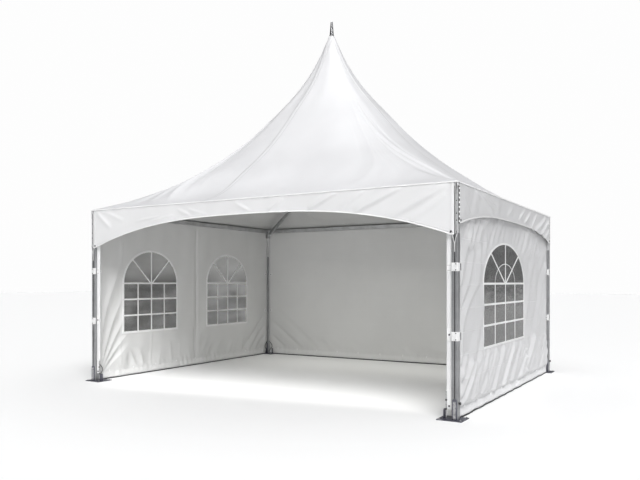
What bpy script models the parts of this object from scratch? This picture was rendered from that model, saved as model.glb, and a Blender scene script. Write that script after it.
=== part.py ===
"""High-peak frame marquee on a five by four metre plan, open at the front.

Metres, +Z up. The origin is the centre of the plan on the ground, and the open front faces -Y.
Four corner posts on base plates carry eave beams, four hip rafters and a short king post.
A tensioned canopy with four arched valances hangs over the frame, and three walls close
the left, right and back bays.
"""

import math

import bmesh
import bpy
from mathutils import Vector

# Overall sizes
WIDTH = 5.0  # canopy along X
DEPTH = 4.0  # canopy along Y
EAVE_Z = 2.24  # top of the corner heads and eave beams
PEAK_Z = 4.69  # top of the canopy
TIP_Z = 4.895  # top of the finial
GAP = 0.0003  # between pieces that touch

# Corner posts, an extrusion with a keder slot in each face
POST_SIDE = 0.064
POST_INSET = 0.037  # post centre from the canopy's edge
POST_X = WIDTH / 2 - POST_INSET
POST_Y = DEPTH / 2 - POST_INSET
SLOT_WIDTH = 0.010
POST_SLOT_DEPTH = 0.008
POST_CHAMFER = 0.005
SLOT_FLOOR = POST_SIDE / 2 - POST_SLOT_DEPTH  # from the post's centre

# Corner heads
HEAD_SIDE = 0.068
HEAD_LENGTH = 0.485
HEAD_BOTTOM = EAVE_Z - HEAD_LENGTH
HEAD_CHAMFER = 0.004

# Eave beams
BEAM_SIDE = 0.060
BEAM_CHAMFER = 0.004
BEAM_SLOT_DEPTH = 0.008
BEAM_BOTTOM = EAVE_Z - BEAM_SIDE

# Hip rafters, hub and king post
RAFTER_SIDE = 0.046
RAFTER_CHAMFER = 0.006
RAFTER_START_Z = 2.128  # axis height at the corner head's centre, clear below the beams
HUB_Z = 2.95
HUB_REACH = 0.085  # hub centre to the face that holds a rafter
HUB_FACE = 0.090
HUB_HEIGHT = 0.120
SOCKET_SIDE = 0.054
SOCKET_END = 0.17  # rafter socket's end from the corner head's centre
KING_POST_RADIUS = 0.024

# Finial
FLANGE_RADIUS = 0.036
FLANGE_THICKNESS = 0.009
FINIAL_BASE_RADIUS = 0.0285
FINIAL_TIP_RADIUS = 0.015

# Base plates and their upright ears, outwards positive from the post's centre
PLATE_THICKNESS = 0.008
PLATE_INNER_X = -0.163
PLATE_INNER_Y = -0.133
PLATE_OUTER = 0.087
EAR_THICKNESS = 0.008
EAR_WIDTH = 0.048
EAR_HEIGHT = 0.200
LUG_CENTRE = -0.112
LUG_HEIGHT = 0.100
EAR_ROUND = 0.012
EAR_SINK = 0.005  # how deep an ear starts inside its plate

# Canopy
CANOPY_THICKNESS = 0.006
CANOPY_EDGE_TOP = EAVE_Z + GAP + CANOPY_THICKNESS
COLLAR_RADIUS = 0.036
COLLAR_WALL = 0.005
SWEEP = 2.25  # how sharply the roof line sweeps up to the peak
FACE_SAG = 0.08  # how far a roof face pulls in between its hips
ROUND_TOP = 2.4  # power of the plan's rounded outline at the peak, where 2 is an oval
ROUND_GAIN = 22.0  # how much squarer the outline gets on the way down
TOP_PULL = 0.20  # how far the hips pull in near the peak
LOW_SPREAD = 0.025  # how far they spread above the eave
CANOPY_RINGS = 16
CANOPY_STEPS = 10  # along each side

# Valances
VALANCE_THICKNESS = 0.005
VALANCE_STEPS = 24
FRONT_DROP = 0.175  # at the middle, below the eave
FRONT_CORNER_DROP = 0.495
FRONT_BEND = 2.75
SIDE_DROP = 0.235
SIDE_CORNER_DROP = 0.385
SIDE_BEND = 3.0

# Walls
WALL_THICKNESS = 0.006
WALL_BOTTOM = 0.015
WALL_TOP = BEAM_BOTTOM + BEAM_SLOT_DEPTH - GAP
CORNER_CUT_WIDTH = 0.1575
CORNER_CUT_Z = 0.24
NOTCH_WIDTH = 0.04  # upper corners, cut clear of the rafter sockets
NOTCH_Z = 2.09

# Arched windows
WINDOW_BOTTOM = 0.61
WINDOW_SPRING = 1.28
WINDOW_RISE = 0.45
LEFT_WINDOW_WIDTH = 1.04
LEFT_WINDOW_FRONT_Y = -0.95
LEFT_WINDOW_BACK_Y = 0.80
RIGHT_WINDOW_WIDTH = 1.68
RIGHT_WINDOW_Y = -0.25
ARCH_STEPS = 20
PANE_THICKNESS = 0.002
PANE_OVERLAP = 0.015

# Edge strips beside the front posts
STRIP_WIDTH = 0.052
STRIP_BOTTOM = 0.27
TONGUE_WIDTH = 0.040
TONGUE_BOTTOM = 0.10
TONGUE_STEPS = 8

# Post straps
STRAP_THICKNESS = 0.003
STRAP_CLEAR = 0.004  # from the post's centre line to the strap's end
UPPER_STRAP = (1.400, 1.480)
LOWER_STRAP = (0.745, 0.830)

CORNERS = {
    "front_left": (-1, -1),
    "front_right": (1, -1),
    "back_left": (-1, 1),
    "back_right": (1, 1),
}

X_AXIS = Vector((1, 0, 0))
Y_AXIS = Vector((0, 1, 0))
Z_AXIS = Vector((0, 0, 1))


def clear_scene():
    """Removes what the file opens with."""
    for thing in list(bpy.data.objects):
        bpy.data.objects.remove(thing, do_unlink=True)


def finish(name, colour, roughness, metallic=0.0, alpha=1.0):
    """Makes a plain surface of one colour."""
    material = bpy.data.materials.new(name)
    material.use_nodes = True
    shader = material.node_tree.nodes["Principled BSDF"]
    shader.inputs["Base Color"].default_value = (*colour, 1.0)
    shader.inputs["Roughness"].default_value = roughness
    shader.inputs["Metallic"].default_value = metallic
    shader.inputs["Alpha"].default_value = alpha
    return material


def place(name, bm, material, location=(0, 0, 0)):
    """Turns a bmesh into a named object with its faces pointing out."""
    bmesh.ops.recalc_face_normals(bm, faces=bm.faces)
    mesh = bpy.data.meshes.new(name)
    bm.to_mesh(mesh)
    bm.free()
    mesh.materials.append(material)
    thing = bpy.data.objects.new(name, mesh)
    thing.location = location
    bpy.context.collection.objects.link(thing)
    thing.parent = bpy.data.objects["marquee"]
    return thing


def add_prism(bm, outline, origin, across, up, thickness):
    """Extrudes an outline, given in the across and up directions, by a thickness vector."""
    corners = [bm.verts.new(origin + across * u + up * v) for u, v in outline]
    face = bm.faces.new(corners)
    grown = bmesh.ops.extrude_face_region(bm, geom=[face])["geom"]
    moved = [item for item in grown if isinstance(item, bmesh.types.BMVert)]
    bmesh.ops.translate(bm, verts=moved, vec=thickness)


def make_prism(name, outline, origin, across, up, thickness, material, location=(0, 0, 0)):
    """Makes an object of one extruded outline."""
    bm = bmesh.new()
    add_prism(bm, outline, Vector(origin), across, up, thickness)
    return place(name, bm, material, location)


def combine(target, helper, operation):
    """Cuts a helper from a target, or joins it on, and hides the helper."""
    boolean = target.modifiers.new(operation.lower(), "BOOLEAN")
    boolean.operation = operation
    boolean.solver = "EXACT"
    boolean.object = helper
    helper.hide_render = True
    helper.display_type = "WIRE"


def slotted_square(side, chamfer, floor):
    """Outline of a square extrusion with a slot in each face, its floor given from the centre."""
    half = side / 2
    lip = SLOT_WIDTH / 2
    quarter = [
        (half, chamfer - half),
        (half, -lip),
        (floor, -lip),
        (floor, lip),
        (half, lip),
        (half, half - chamfer),
    ]
    outline = []
    for turn in range(4):
        c = round(math.cos(turn * math.pi / 2))
        s = round(math.sin(turn * math.pi / 2))
        outline += [(c * x - s * y, s * x + c * y) for x, y in quarter]
    return outline


def chamfered(width, height, chamfer):
    """Outline of a rectangle with cut corners, centred on its origin."""
    x = width / 2
    y = height / 2
    return [
        (chamfer - x, -y),
        (x - chamfer, -y),
        (x, chamfer - y),
        (x, y - chamfer),
        (x - chamfer, y),
        (chamfer - x, y),
        (-x, y - chamfer),
        (-x, chamfer - y),
    ]


def arch_outline(width, centre, margin=0.0):
    """Outline of an arched window, grown by a margin all round."""
    half = width / 2 + margin
    rise = WINDOW_RISE + margin
    outline = [(centre - half, WINDOW_BOTTOM - margin), (centre + half, WINDOW_BOTTOM - margin)]
    for step in range(ARCH_STEPS + 1):
        angle = math.pi * step / ARCH_STEPS
        outline.append((centre + half * math.cos(angle), WINDOW_SPRING + rise * math.sin(angle)))
    return outline


def make_feet(steel):
    """Flat base plates, each with two ears that clasp the post and a lug beside it."""
    round_top = EAR_ROUND
    for corner, (sx, sy) in CORNERS.items():
        centre = (sx * POST_X, sy * POST_Y, 0)
        plate = [
            (sx * PLATE_INNER_X, sy * PLATE_INNER_Y),
            (sx * PLATE_OUTER, sy * PLATE_INNER_Y),
            (sx * PLATE_OUTER, sy * PLATE_OUTER),
            (sx * PLATE_INNER_X, sy * PLATE_OUTER),
        ]
        lift = Z_AXIS * PLATE_THICKNESS
        foot = make_prism(f"foot_{corner}", plate, (0, 0, 0), X_AXIS, Y_AXIS, lift, steel, centre)
        bm = bmesh.new()
        start = PLATE_THICKNESS - EAR_SINK
        for height, side in ((EAR_HEIGHT, 1), (EAR_HEIGHT, -1), (LUG_HEIGHT, 0)):
            half = EAR_WIDTH / 2
            ear = [
                (-half, start),
                (half, start),
                (half, height - round_top),
                (half - round_top, height),
                (round_top - half, height),
                (-half, height - round_top),
            ]
            if side:
                offset = side * (POST_SIDE / 2 + GAP)
                add_prism(bm, ear, Y_AXIS * offset, X_AXIS, Z_AXIS, Y_AXIS * side * EAR_THICKNESS)
            else:
                offset = sx * LUG_CENTRE - EAR_THICKNESS / 2
                add_prism(bm, ear, X_AXIS * offset, Y_AXIS, Z_AXIS, X_AXIS * EAR_THICKNESS)
        combine(foot, place(f"ears_{corner}", bm, steel, centre), "UNION")


def make_posts(aluminium):
    """Slotted corner posts from the base plates up to the corner heads."""
    outline = slotted_square(POST_SIDE, POST_CHAMFER, SLOT_FLOOR)
    bottom = PLATE_THICKNESS + GAP
    length = Z_AXIS * (HEAD_BOTTOM - GAP - bottom)
    for corner, (sx, sy) in CORNERS.items():
        centre = (sx * POST_X, sy * POST_Y, bottom)
        make_prism(f"post_{corner}", outline, (0, 0, 0), X_AXIS, Y_AXIS, length, aluminium, centre)


def hip_frame(sx, sy):
    """Direction along a hip in plan, from the corner inwards, and the direction across it."""
    inward = Vector((-sx * POST_X, -sy * POST_Y, 0)).normalized()
    return inward, Vector((-inward.y, inward.x, 0))


def hip_slope():
    """Rise of a rafter for each metre of its plan length."""
    return (HUB_Z - RAFTER_START_Z) / math.hypot(POST_X, POST_Y)


def make_corner_heads(aluminium):
    """Upper corner pieces that hold the eave beams, each with a socket for its rafter."""
    outline = slotted_square(HEAD_SIDE, HEAD_CHAMFER, SLOT_FLOOR)
    length = Z_AXIS * HEAD_LENGTH
    for corner, (sx, sy) in CORNERS.items():
        centre = Vector((sx * POST_X, sy * POST_Y, 0))
        name = f"corner_head_{corner}"
        base = (0, 0, HEAD_BOTTOM)
        head = make_prism(name, outline, base, X_AXIS, Y_AXIS, length, aluminium, centre)
        inward, across = hip_frame(sx, sy)
        run = (inward + Z_AXIS * hip_slope()) * SOCKET_END
        section = chamfered(SOCKET_SIDE, SOCKET_SIDE, RAFTER_CHAMFER)
        start = (0, 0, RAFTER_START_Z)
        name = f"socket_{corner}"
        socket = make_prism(name, section, start, across, Z_AXIS, run, aluminium, centre)
        combine(head, socket, "UNION")


def make_eave_beams(aluminium):
    """Straight beams between the corner heads, each with a slot below for the wall."""
    half = BEAM_SIDE / 2
    lip = SLOT_WIDTH / 2
    c = BEAM_CHAMFER
    outline = [
        (-lip, -half),
        (-lip, BEAM_SLOT_DEPTH - half),
        (lip, BEAM_SLOT_DEPTH - half),
        (lip, -half),
        (half - c, -half),
        (half, c - half),
        (half, half - c),
        (half - c, half),
        (c - half, half),
        (-half, half - c),
        (-half, c - half),
        (c - half, -half),
    ]
    height = EAVE_Z - half
    clear = HEAD_SIDE / 2 + GAP
    for name, sy in (("front", -1), ("back", 1)):
        reach = POST_X - clear
        start = (-reach, sy * POST_Y, height)
        run = X_AXIS * 2 * reach
        make_prism(f"eave_beam_{name}", outline, start, Y_AXIS, Z_AXIS, run, aluminium)
    for name, sx in (("left", -1), ("right", 1)):
        reach = POST_Y - clear
        start = (sx * POST_X, -reach, height)
        run = Y_AXIS * 2 * reach
        make_prism(f"eave_beam_{name}", outline, start, X_AXIS, Z_AXIS, run, aluminium)


def make_hip_rafters(aluminium):
    """Straight rafters that rise from the corner heads to the centre hub."""
    section = chamfered(RAFTER_SIDE, RAFTER_SIDE, RAFTER_CHAMFER)
    start = SOCKET_END + GAP
    end = math.hypot(POST_X, POST_Y) - HUB_REACH - GAP
    for corner, (sx, sy) in CORNERS.items():
        inward, across = hip_frame(sx, sy)
        climb = inward + Z_AXIS * hip_slope()
        foot = Vector((sx * POST_X, sy * POST_Y, RAFTER_START_Z)) + climb * start
        run = climb * (end - start)
        make_prism(f"hip_rafter_{corner}", section, foot, across, Z_AXIS, run, aluminium)


def make_centre_hub(aluminium):
    """Eight-sided hub with a flat face square to each rafter."""
    outline = []
    for turn in ("back_right", "back_left", "front_left", "front_right"):
        inward, across = hip_frame(*CORNERS[turn])
        for side in (1, -1):
            spot = -inward * HUB_REACH + across * side * HUB_FACE / 2
            outline.append((spot.x, spot.y))
    height = Z_AXIS * HUB_HEIGHT
    base = (0, 0, HUB_Z - HUB_HEIGHT / 2)
    make_prism("centre_hub", outline, base, X_AXIS, Y_AXIS, height, aluminium)


def make_turned(name, profile, material, steps=24):
    """Spins a profile of radius and height about the Z axis."""
    bm = bmesh.new()
    points = [bm.verts.new((radius, 0, height)) for radius, height in profile]
    edges = [bm.edges.new(pair) for pair in zip(points, points[1:])]
    geom = points + edges
    axis = (0, 0, 1)
    bmesh.ops.spin(bm, geom=geom, cent=(0, 0, 0), axis=axis, angle=math.tau, steps=steps, use_merge=True)
    bmesh.ops.remove_doubles(bm, verts=bm.verts, dist=0.00001)
    thing = place(name, bm, material)
    thing.data.shade_smooth()
    thing.data.set_sharp_from_angle(angle=math.radians(35))
    return thing


def make_king_post(aluminium):
    """Round mast from the hub to the underside of the finial."""
    bottom = HUB_Z + HUB_HEIGHT / 2 + GAP
    profile = [(0, bottom), (KING_POST_RADIUS, bottom), (KING_POST_RADIUS, PEAK_Z), (0, PEAK_Z)]
    make_turned("king_post", profile, aluminium)


def make_finial(steel):
    """Small tapered cap with a rounded top that closes the canopy's collar."""
    bottom = PEAK_Z + GAP
    shoulder = bottom + FLANGE_THICKNESS
    crown = TIP_Z - FINIAL_TIP_RADIUS
    profile = [(0, bottom), (FLANGE_RADIUS, bottom), (FLANGE_RADIUS, shoulder - 0.002)]
    profile += [(FLANGE_RADIUS - 0.002, shoulder), (FINIAL_BASE_RADIUS, shoulder + 0.003)]
    for step in range(7):
        angle = math.pi / 2 * step / 6
        round_z = crown + FINIAL_TIP_RADIUS * math.sin(angle)
        profile.append((FINIAL_TIP_RADIUS * math.cos(angle), round_z))
    make_turned("finial", profile, steel)


def roof_height(s):
    """Height of the canopy's outer face, where s is 0 at the peak and 1 at the eave."""
    floor = math.exp(-SWEEP)
    share = (math.exp(-SWEEP * s) - floor) / (1 - floor)
    return CANOPY_EDGE_TOP + (PEAK_Z - CANOPY_EDGE_TOP) * share


def ease(value, low, high):
    """Eases from 0 at low to 1 at high."""
    t = min(max((value - low) / (high - low), 0.0), 1.0)
    return t * t * (3 - 2 * t)


def roof_reach(u, s):
    """Factor that rounds the canopy's plan, where u is -1 and 1 at the hips."""
    power = ROUND_TOP + ROUND_GAIN * s * s
    share = (2 / (1 + abs(u) ** power)) ** (1 / power)
    reach = 1 - TOP_PULL * (1 - ease(s, 0.02, 0.26)) + LOW_SPREAD * ease(s, 0.25, 0.78)
    square = ease(s, 0.75, 1.0)
    return share * reach * (1 - square) + square


def roof_row(normal, s):
    """Outer and inner points of one roof face on one level, from hip to hip."""
    along = Vector((-normal.y, normal.x, 0))
    height = Z_AXIS * roof_height(s)
    outer = []
    inner = []
    for step in range(CANOPY_STEPS + 1):
        u = 2 * step / CANOPY_STEPS - 1
        edge = normal + along * u
        rim = Vector((edge.x * WIDTH / 2, edge.y * DEPTH / 2, 0))
        outward = rim.normalized()
        pull = normal * FACE_SAG * 4 * s * (1 - s) * (1 - u * u)
        spot = rim * s * roof_reach(u, s) + outward * COLLAR_RADIUS * (1 - s) - pull + height
        outer.append(spot)
        inner.append(spot - outward * COLLAR_WALL * (1 - s) - Z_AXIS * CANOPY_THICKNESS * s)
    return outer, inner


def make_roof(fabric):
    """The swept canopy, four thin faces that meet at the hips and end at an open collar."""
    for name, normal in (("front", -Y_AXIS), ("right", X_AXIS), ("back", Y_AXIS), ("left", -X_AXIS)):
        bm = bmesh.new()
        loops = []
        for ring in range(CANOPY_RINGS + 1):
            outer, inner = roof_row(normal, ring / CANOPY_RINGS)
            loops.append([bm.verts.new(point) for point in outer + inner[::-1]])
        for upper, lower in zip(loops, loops[1:]):
            for i in range(len(upper)):
                bm.faces.new((upper[i - 1], upper[i], lower[i], lower[i - 1]))
        for row in (loops[0], loops[-1]):
            for i in range(CANOPY_STEPS):
                bm.faces.new((row[i], row[i + 1], row[-2 - i], row[-1 - i]))
        face = place(f"roof_{name}", bm, fabric, normal * GAP)
        face.data.shade_smooth()
        face.data.set_sharp_from_angle(angle=math.radians(30))


def valance_outline(reach, drop, corner_drop, bend):
    """Outline of a valance with a straight top and an arched lower edge."""
    top = EAVE_Z
    outline = [(-reach, top), (reach, top)]
    for step in range(VALANCE_STEPS + 1):
        u = 1 - 2 * step / VALANCE_STEPS
        depth = drop + (corner_drop - drop) * abs(u) ** bend
        outline.append((reach * u, top - depth))
    return outline


def make_valances(fabric):
    """Arched valances that hang in front of the eave beams, between the corner heads."""
    clear = HEAD_SIDE / 2 + GAP
    inner = BEAM_SIDE / 2 + GAP
    outline = valance_outline(POST_X - clear, FRONT_DROP, FRONT_CORNER_DROP, FRONT_BEND)
    for name, sy in (("front_valance", -1), ("back_valance", 1)):
        start = (0, sy * (POST_Y + inner), 0)
        make_prism(name, outline, start, X_AXIS, Z_AXIS, Y_AXIS * sy * VALANCE_THICKNESS, fabric)
    outline = valance_outline(POST_Y - clear, SIDE_DROP, SIDE_CORNER_DROP, SIDE_BEND)
    for name, sx in (("left_valance", -1), ("right_valance", 1)):
        start = (sx * (POST_X + inner), 0, 0)
        make_prism(name, outline, start, Y_AXIS, Z_AXIS, X_AXIS * sx * VALANCE_THICKNESS, fabric)


def wall_outline(reach):
    """Outline of a wall, cut away beside the feet and below the rafter sockets."""
    return [
        (CORNER_CUT_WIDTH - reach, WALL_BOTTOM),
        (reach - CORNER_CUT_WIDTH, WALL_BOTTOM),
        (reach, CORNER_CUT_Z),
        (reach, NOTCH_Z),
        (reach - NOTCH_WIDTH, NOTCH_Z),
        (reach - NOTCH_WIDTH, WALL_TOP),
        (NOTCH_WIDTH - reach, WALL_TOP),
        (NOTCH_WIDTH - reach, NOTCH_Z),
        (-reach, NOTCH_Z),
        (-reach, CORNER_CUT_Z),
    ]


def make_window(name, wall, sx, width, centre, film, fabric):
    """Cuts an arched window through a side wall and lays its clear pane on the inside."""
    across = 3 * WALL_THICKNESS
    start = (sx * POST_X - across / 2, 0, 0)
    hole = arch_outline(width, centre)
    cutter = make_prism(f"cut_{name}", hole, start, Y_AXIS, Z_AXIS, X_AXIS * across, fabric)
    combine(wall, cutter, "DIFFERENCE")
    pane = arch_outline(width, centre, PANE_OVERLAP)
    start = (sx * (POST_X - WALL_THICKNESS / 2 - GAP), 0, 0)
    make_prism(name, pane, start, Y_AXIS, Z_AXIS, X_AXIS * -sx * PANE_THICKNESS, film)


def make_walls(fabric, film):
    """Three walls whose edges run in the posts' slots and hang from the beams' slots."""
    reach_y = POST_Y - SLOT_FLOOR - GAP
    reach_x = POST_X - SLOT_FLOOR - GAP
    sides = {}
    for name, sx in (("left_wall", -1), ("right_wall", 1)):
        start = (sx * POST_X - WALL_THICKNESS / 2, 0, 0)
        run = X_AXIS * WALL_THICKNESS
        sides[name] = make_prism(name, wall_outline(reach_y), start, Y_AXIS, Z_AXIS, run, fabric)
    start = (0, POST_Y - WALL_THICKNESS / 2, 0)
    run = Y_AXIS * WALL_THICKNESS
    make_prism("back_wall", wall_outline(reach_x), start, X_AXIS, Z_AXIS, run, fabric)
    left = sides["left_wall"]
    width = LEFT_WINDOW_WIDTH
    make_window("left_window_front", left, -1, width, LEFT_WINDOW_FRONT_Y, film, fabric)
    make_window("left_window_back", left, -1, width, LEFT_WINDOW_BACK_Y, film, fabric)
    right = sides["right_wall"]
    make_window("right_window", right, 1, RIGHT_WINDOW_WIDTH, RIGHT_WINDOW_Y, film, fabric)


def make_edge_strips(fabric):
    """Narrow strips in the front posts' slots, each ending in a rounded tongue."""
    inner = SLOT_FLOOR + GAP
    outer = POST_SIDE / 2 + STRIP_WIDTH
    radius = TONGUE_WIDTH / 2
    middle = outer - radius
    outline = [(outer, STRIP_BOTTOM), (outer, NOTCH_Z), (inner, NOTCH_Z), (inner, STRIP_BOTTOM)]
    for step in range(TONGUE_STEPS + 1):
        angle = math.pi * step / TONGUE_STEPS
        spot = (middle - radius * math.cos(angle), TONGUE_BOTTOM + radius * (1 - math.sin(angle)))
        outline.append(spot)
    for name, sx in (("left", -1), ("right", 1)):
        start = (sx * POST_X, -POST_Y - WALL_THICKNESS / 2, 0)
        run = Y_AXIS * WALL_THICKNESS
        make_prism(f"front_edge_strip_{name}", outline, start, -sx * X_AXIS, Z_AXIS, run, fabric)


def make_post_straps(webbing):
    """Bands that clasp each post from the outside, two to a post."""
    near = POST_SIDE / 2 + GAP
    far = near + STRAP_THICKNESS
    inner = [(-near, STRAP_CLEAR), (-near, near), (near, near), (near, -near), (STRAP_CLEAR, -near)]
    outer = [(STRAP_CLEAR, -far), (far, -far), (far, far), (-far, far), (-far, STRAP_CLEAR)]
    outline = inner + outer
    for corner, (sx, sy) in CORNERS.items():
        for level, (bottom, top) in (("upper", UPPER_STRAP), ("lower", LOWER_STRAP)):
            name = f"strap_{corner}_{level}"
            start = (sx * POST_X, sy * POST_Y, bottom)
            run = Z_AXIS * (top - bottom)
            make_prism(name, outline, start, sx * X_AXIS, sy * Y_AXIS, run, webbing)


def main():
    """Builds the marquee from the ground up."""
    clear_scene()
    root = bpy.data.objects.new("marquee", None)
    bpy.context.collection.objects.link(root)
    steel = finish("dark_steel", (0.10, 0.10, 0.13), 0.45, 0.8)
    aluminium = finish("aluminium", (0.62, 0.63, 0.65), 0.38, 0.9)
    fabric = finish("coated_fabric", (0.86, 0.86, 0.87), 0.5)
    film = finish("window_film", (0.45, 0.47, 0.49), 0.2, 0.0, 0.6)
    webbing = finish("webbing", (0.80, 0.80, 0.81), 0.6)
    make_feet(steel)
    make_posts(aluminium)
    make_corner_heads(aluminium)
    make_eave_beams(aluminium)
    make_hip_rafters(aluminium)
    make_centre_hub(aluminium)
    make_king_post(aluminium)
    make_finial(steel)
    make_roof(fabric)
    make_valances(fabric)
    make_walls(fabric, film)
    make_edge_strips(fabric)
    make_post_straps(webbing)


main()
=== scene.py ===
"""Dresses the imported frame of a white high-peak marquee tent for its studio picture.

Metres, +Z up. The tent stands on the ground at the origin with its open front towards -Y. The
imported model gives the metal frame, and the classes below hang the cloth on it: a swept canopy,
four valances, three walls with arched windows, edge strips, straps and small fittings.
"""

import logging
import math
from collections.abc import Callable, Sequence
from dataclasses import dataclass, replace
from enum import Enum
from functools import cache
from typing import ClassVar

import bmesh
import bpy
import numpy as np
from mathutils import Euler, Matrix, Vector


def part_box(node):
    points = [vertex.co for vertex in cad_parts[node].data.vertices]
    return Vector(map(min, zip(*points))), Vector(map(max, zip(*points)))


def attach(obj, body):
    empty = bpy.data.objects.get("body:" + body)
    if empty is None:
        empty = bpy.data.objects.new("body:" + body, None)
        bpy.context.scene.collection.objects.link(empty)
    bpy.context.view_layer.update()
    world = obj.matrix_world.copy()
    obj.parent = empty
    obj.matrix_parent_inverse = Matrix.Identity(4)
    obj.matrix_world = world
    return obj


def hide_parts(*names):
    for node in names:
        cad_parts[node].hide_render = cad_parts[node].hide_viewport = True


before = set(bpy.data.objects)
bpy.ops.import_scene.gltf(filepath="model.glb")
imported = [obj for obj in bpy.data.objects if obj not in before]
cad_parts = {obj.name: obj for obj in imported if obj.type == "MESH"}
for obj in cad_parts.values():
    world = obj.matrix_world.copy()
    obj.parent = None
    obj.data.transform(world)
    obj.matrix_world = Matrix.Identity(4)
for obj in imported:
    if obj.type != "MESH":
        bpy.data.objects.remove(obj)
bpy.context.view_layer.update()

LOG = logging.getLogger("marquee")
BODY = "root"
CLOTH_THICKNESS = 0.0015
SHARP_ANGLE = math.radians(55)
ROUNDED_ANGLE = math.radians(40)

Array = np.ndarray
Mesh = bmesh.types.BMesh
Thing = bpy.types.Object
Material = bpy.types.Material
Point = tuple[float, float]
Spot = tuple[float, float, float]
Colour = Spot
Field = Callable[[Array, Array], Array]


class Named(Enum):
    """A choice whose name is also part of the CAD nodes' names."""

    @property
    def label(self) -> str:
        """The name in lower case, as the CAD nodes have it."""
        return self.name.lower()


class Side(Named):
    """A side of the tent, as its outward direction and the direction along it."""

    FRONT = ((0.0, -1.0, 0.0), (1.0, 0.0, 0.0))
    RIGHT = ((1.0, 0.0, 0.0), (0.0, 1.0, 0.0))
    BACK = ((0.0, 1.0, 0.0), (1.0, 0.0, 0.0))
    LEFT = ((-1.0, 0.0, 0.0), (0.0, 1.0, 0.0))

    @property
    def outward(self) -> Array:
        """Unit vector that points away from the tent."""
        return np.array(self.value[0])

    @property
    def along(self) -> Array:
        """Unit vector that runs along the side."""
        return np.array(self.value[1])

    def places(self, h: Array, z: Array, out: Array) -> Array:
        """Places at distances along the side, heights and distances outwards, one row each."""
        level = self.outward * out[:, None] + self.along * h[:, None]
        return level + np.array([0.0, 0.0, 1.0]) * z[:, None]


class Corner(Named):
    """A corner of the tent, as the signs of its X and Y."""

    FRONT_LEFT = (-1, -1)
    FRONT_RIGHT = (1, -1)
    BACK_LEFT = (-1, 1)
    BACK_RIGHT = (1, 1)


# Shader building


class Sock:
    """A shader socket that adds Math nodes when it is used in an expression."""

    def __init__(self, tree: "Nodes", socket: bpy.types.NodeSocket) -> None:
        """Wraps one output socket of a tree."""
        self.tree = tree
        self.socket = socket

    def _math(self, operation: str, *values: "Sock | float") -> "Sock":
        """Adds one Math node on these values."""
        return self.tree.add("ShaderNodeMath", {"operation": operation}, dict(enumerate(values)))

    def __add__(self, other: "Sock | float") -> "Sock":
        """Sum."""
        return self._math("ADD", self, other)

    __radd__ = __add__

    def __sub__(self, other: "Sock | float") -> "Sock":
        """Difference."""
        return self._math("SUBTRACT", self, other)

    def __rsub__(self, other: float) -> "Sock":
        """Difference from a number."""
        return self._math("SUBTRACT", other, self)

    def __mul__(self, other: "Sock | float") -> "Sock":
        """Product."""
        return self._math("MULTIPLY", self, other)

    __rmul__ = __mul__

    def __truediv__(self, other: "Sock | float") -> "Sock":
        """Quotient."""
        return self._math("DIVIDE", self, other)

    def __pow__(self, other: "Sock | float") -> "Sock":
        """Power."""
        return self._math("POWER", self, other)

    def __abs__(self) -> "Sock":
        """Size without its sign."""
        return self._math("ABSOLUTE", self)

    def sine(self) -> "Sock":
        """Sine of the value."""
        return self._math("SINE", self)

    def fraction(self) -> "Sock":
        """What is left after the whole part."""
        return self._math("FRACT", self)

    def highest(self, other: "Sock | float") -> "Sock":
        """The larger of two values."""
        return self._math("MAXIMUM", self, other)

    def fade(self, low: float, high: float, start: float = 0.0, end: float = 1.0) -> "Sock":
        """Eases from start at and below low to end at and above high."""
        settings = {"interpolation_type": "SMOOTHSTEP"}
        return self.tree.add("ShaderNodeMapRange", settings, {0: self, 1: low, 2: high, 3: start, 4: end})


class Nodes:
    """Adds nodes to one node tree."""

    def __init__(self, tree: bpy.types.NodeTree) -> None:
        """Takes the tree that the nodes go into."""
        self.tree = tree

    def add(
        self, kind: str, settings: dict[str, object] | None = None, inputs: dict[str | int, object] | None = None,
        output: str | int = 0,
    ) -> Sock:
        """Adds a node.

        Args:
            kind: Blender's type name of the node.
            settings: Properties of the node, set first.
            inputs: Values or links of its sockets.
            output: The output socket to hand back.

        Returns:
            The chosen output.
        """
        node = self.tree.nodes.new(kind)
        for key, value in (settings or {}).items():
            setattr(node, key, value)
        for key, value in (inputs or {}).items():
            self.feed(node.inputs[key], value)
        return Sock(self, node.outputs[output])

    def feed(self, socket: bpy.types.NodeSocket, value: object) -> None:
        """Links a Sock to a socket, or sets the socket's value.

        Args:
            socket: The socket.
            value: What goes into it.
        """
        if isinstance(value, Sock):
            self.tree.links.new(value.socket, socket)
        else:
            socket.default_value = value

    def axis(self, vector: Sock, name: str) -> Sock:
        """One of a vector's parts, X, Y or Z."""
        return self.add("ShaderNodeSeparateXYZ", None, {0: vector}, name)


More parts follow.
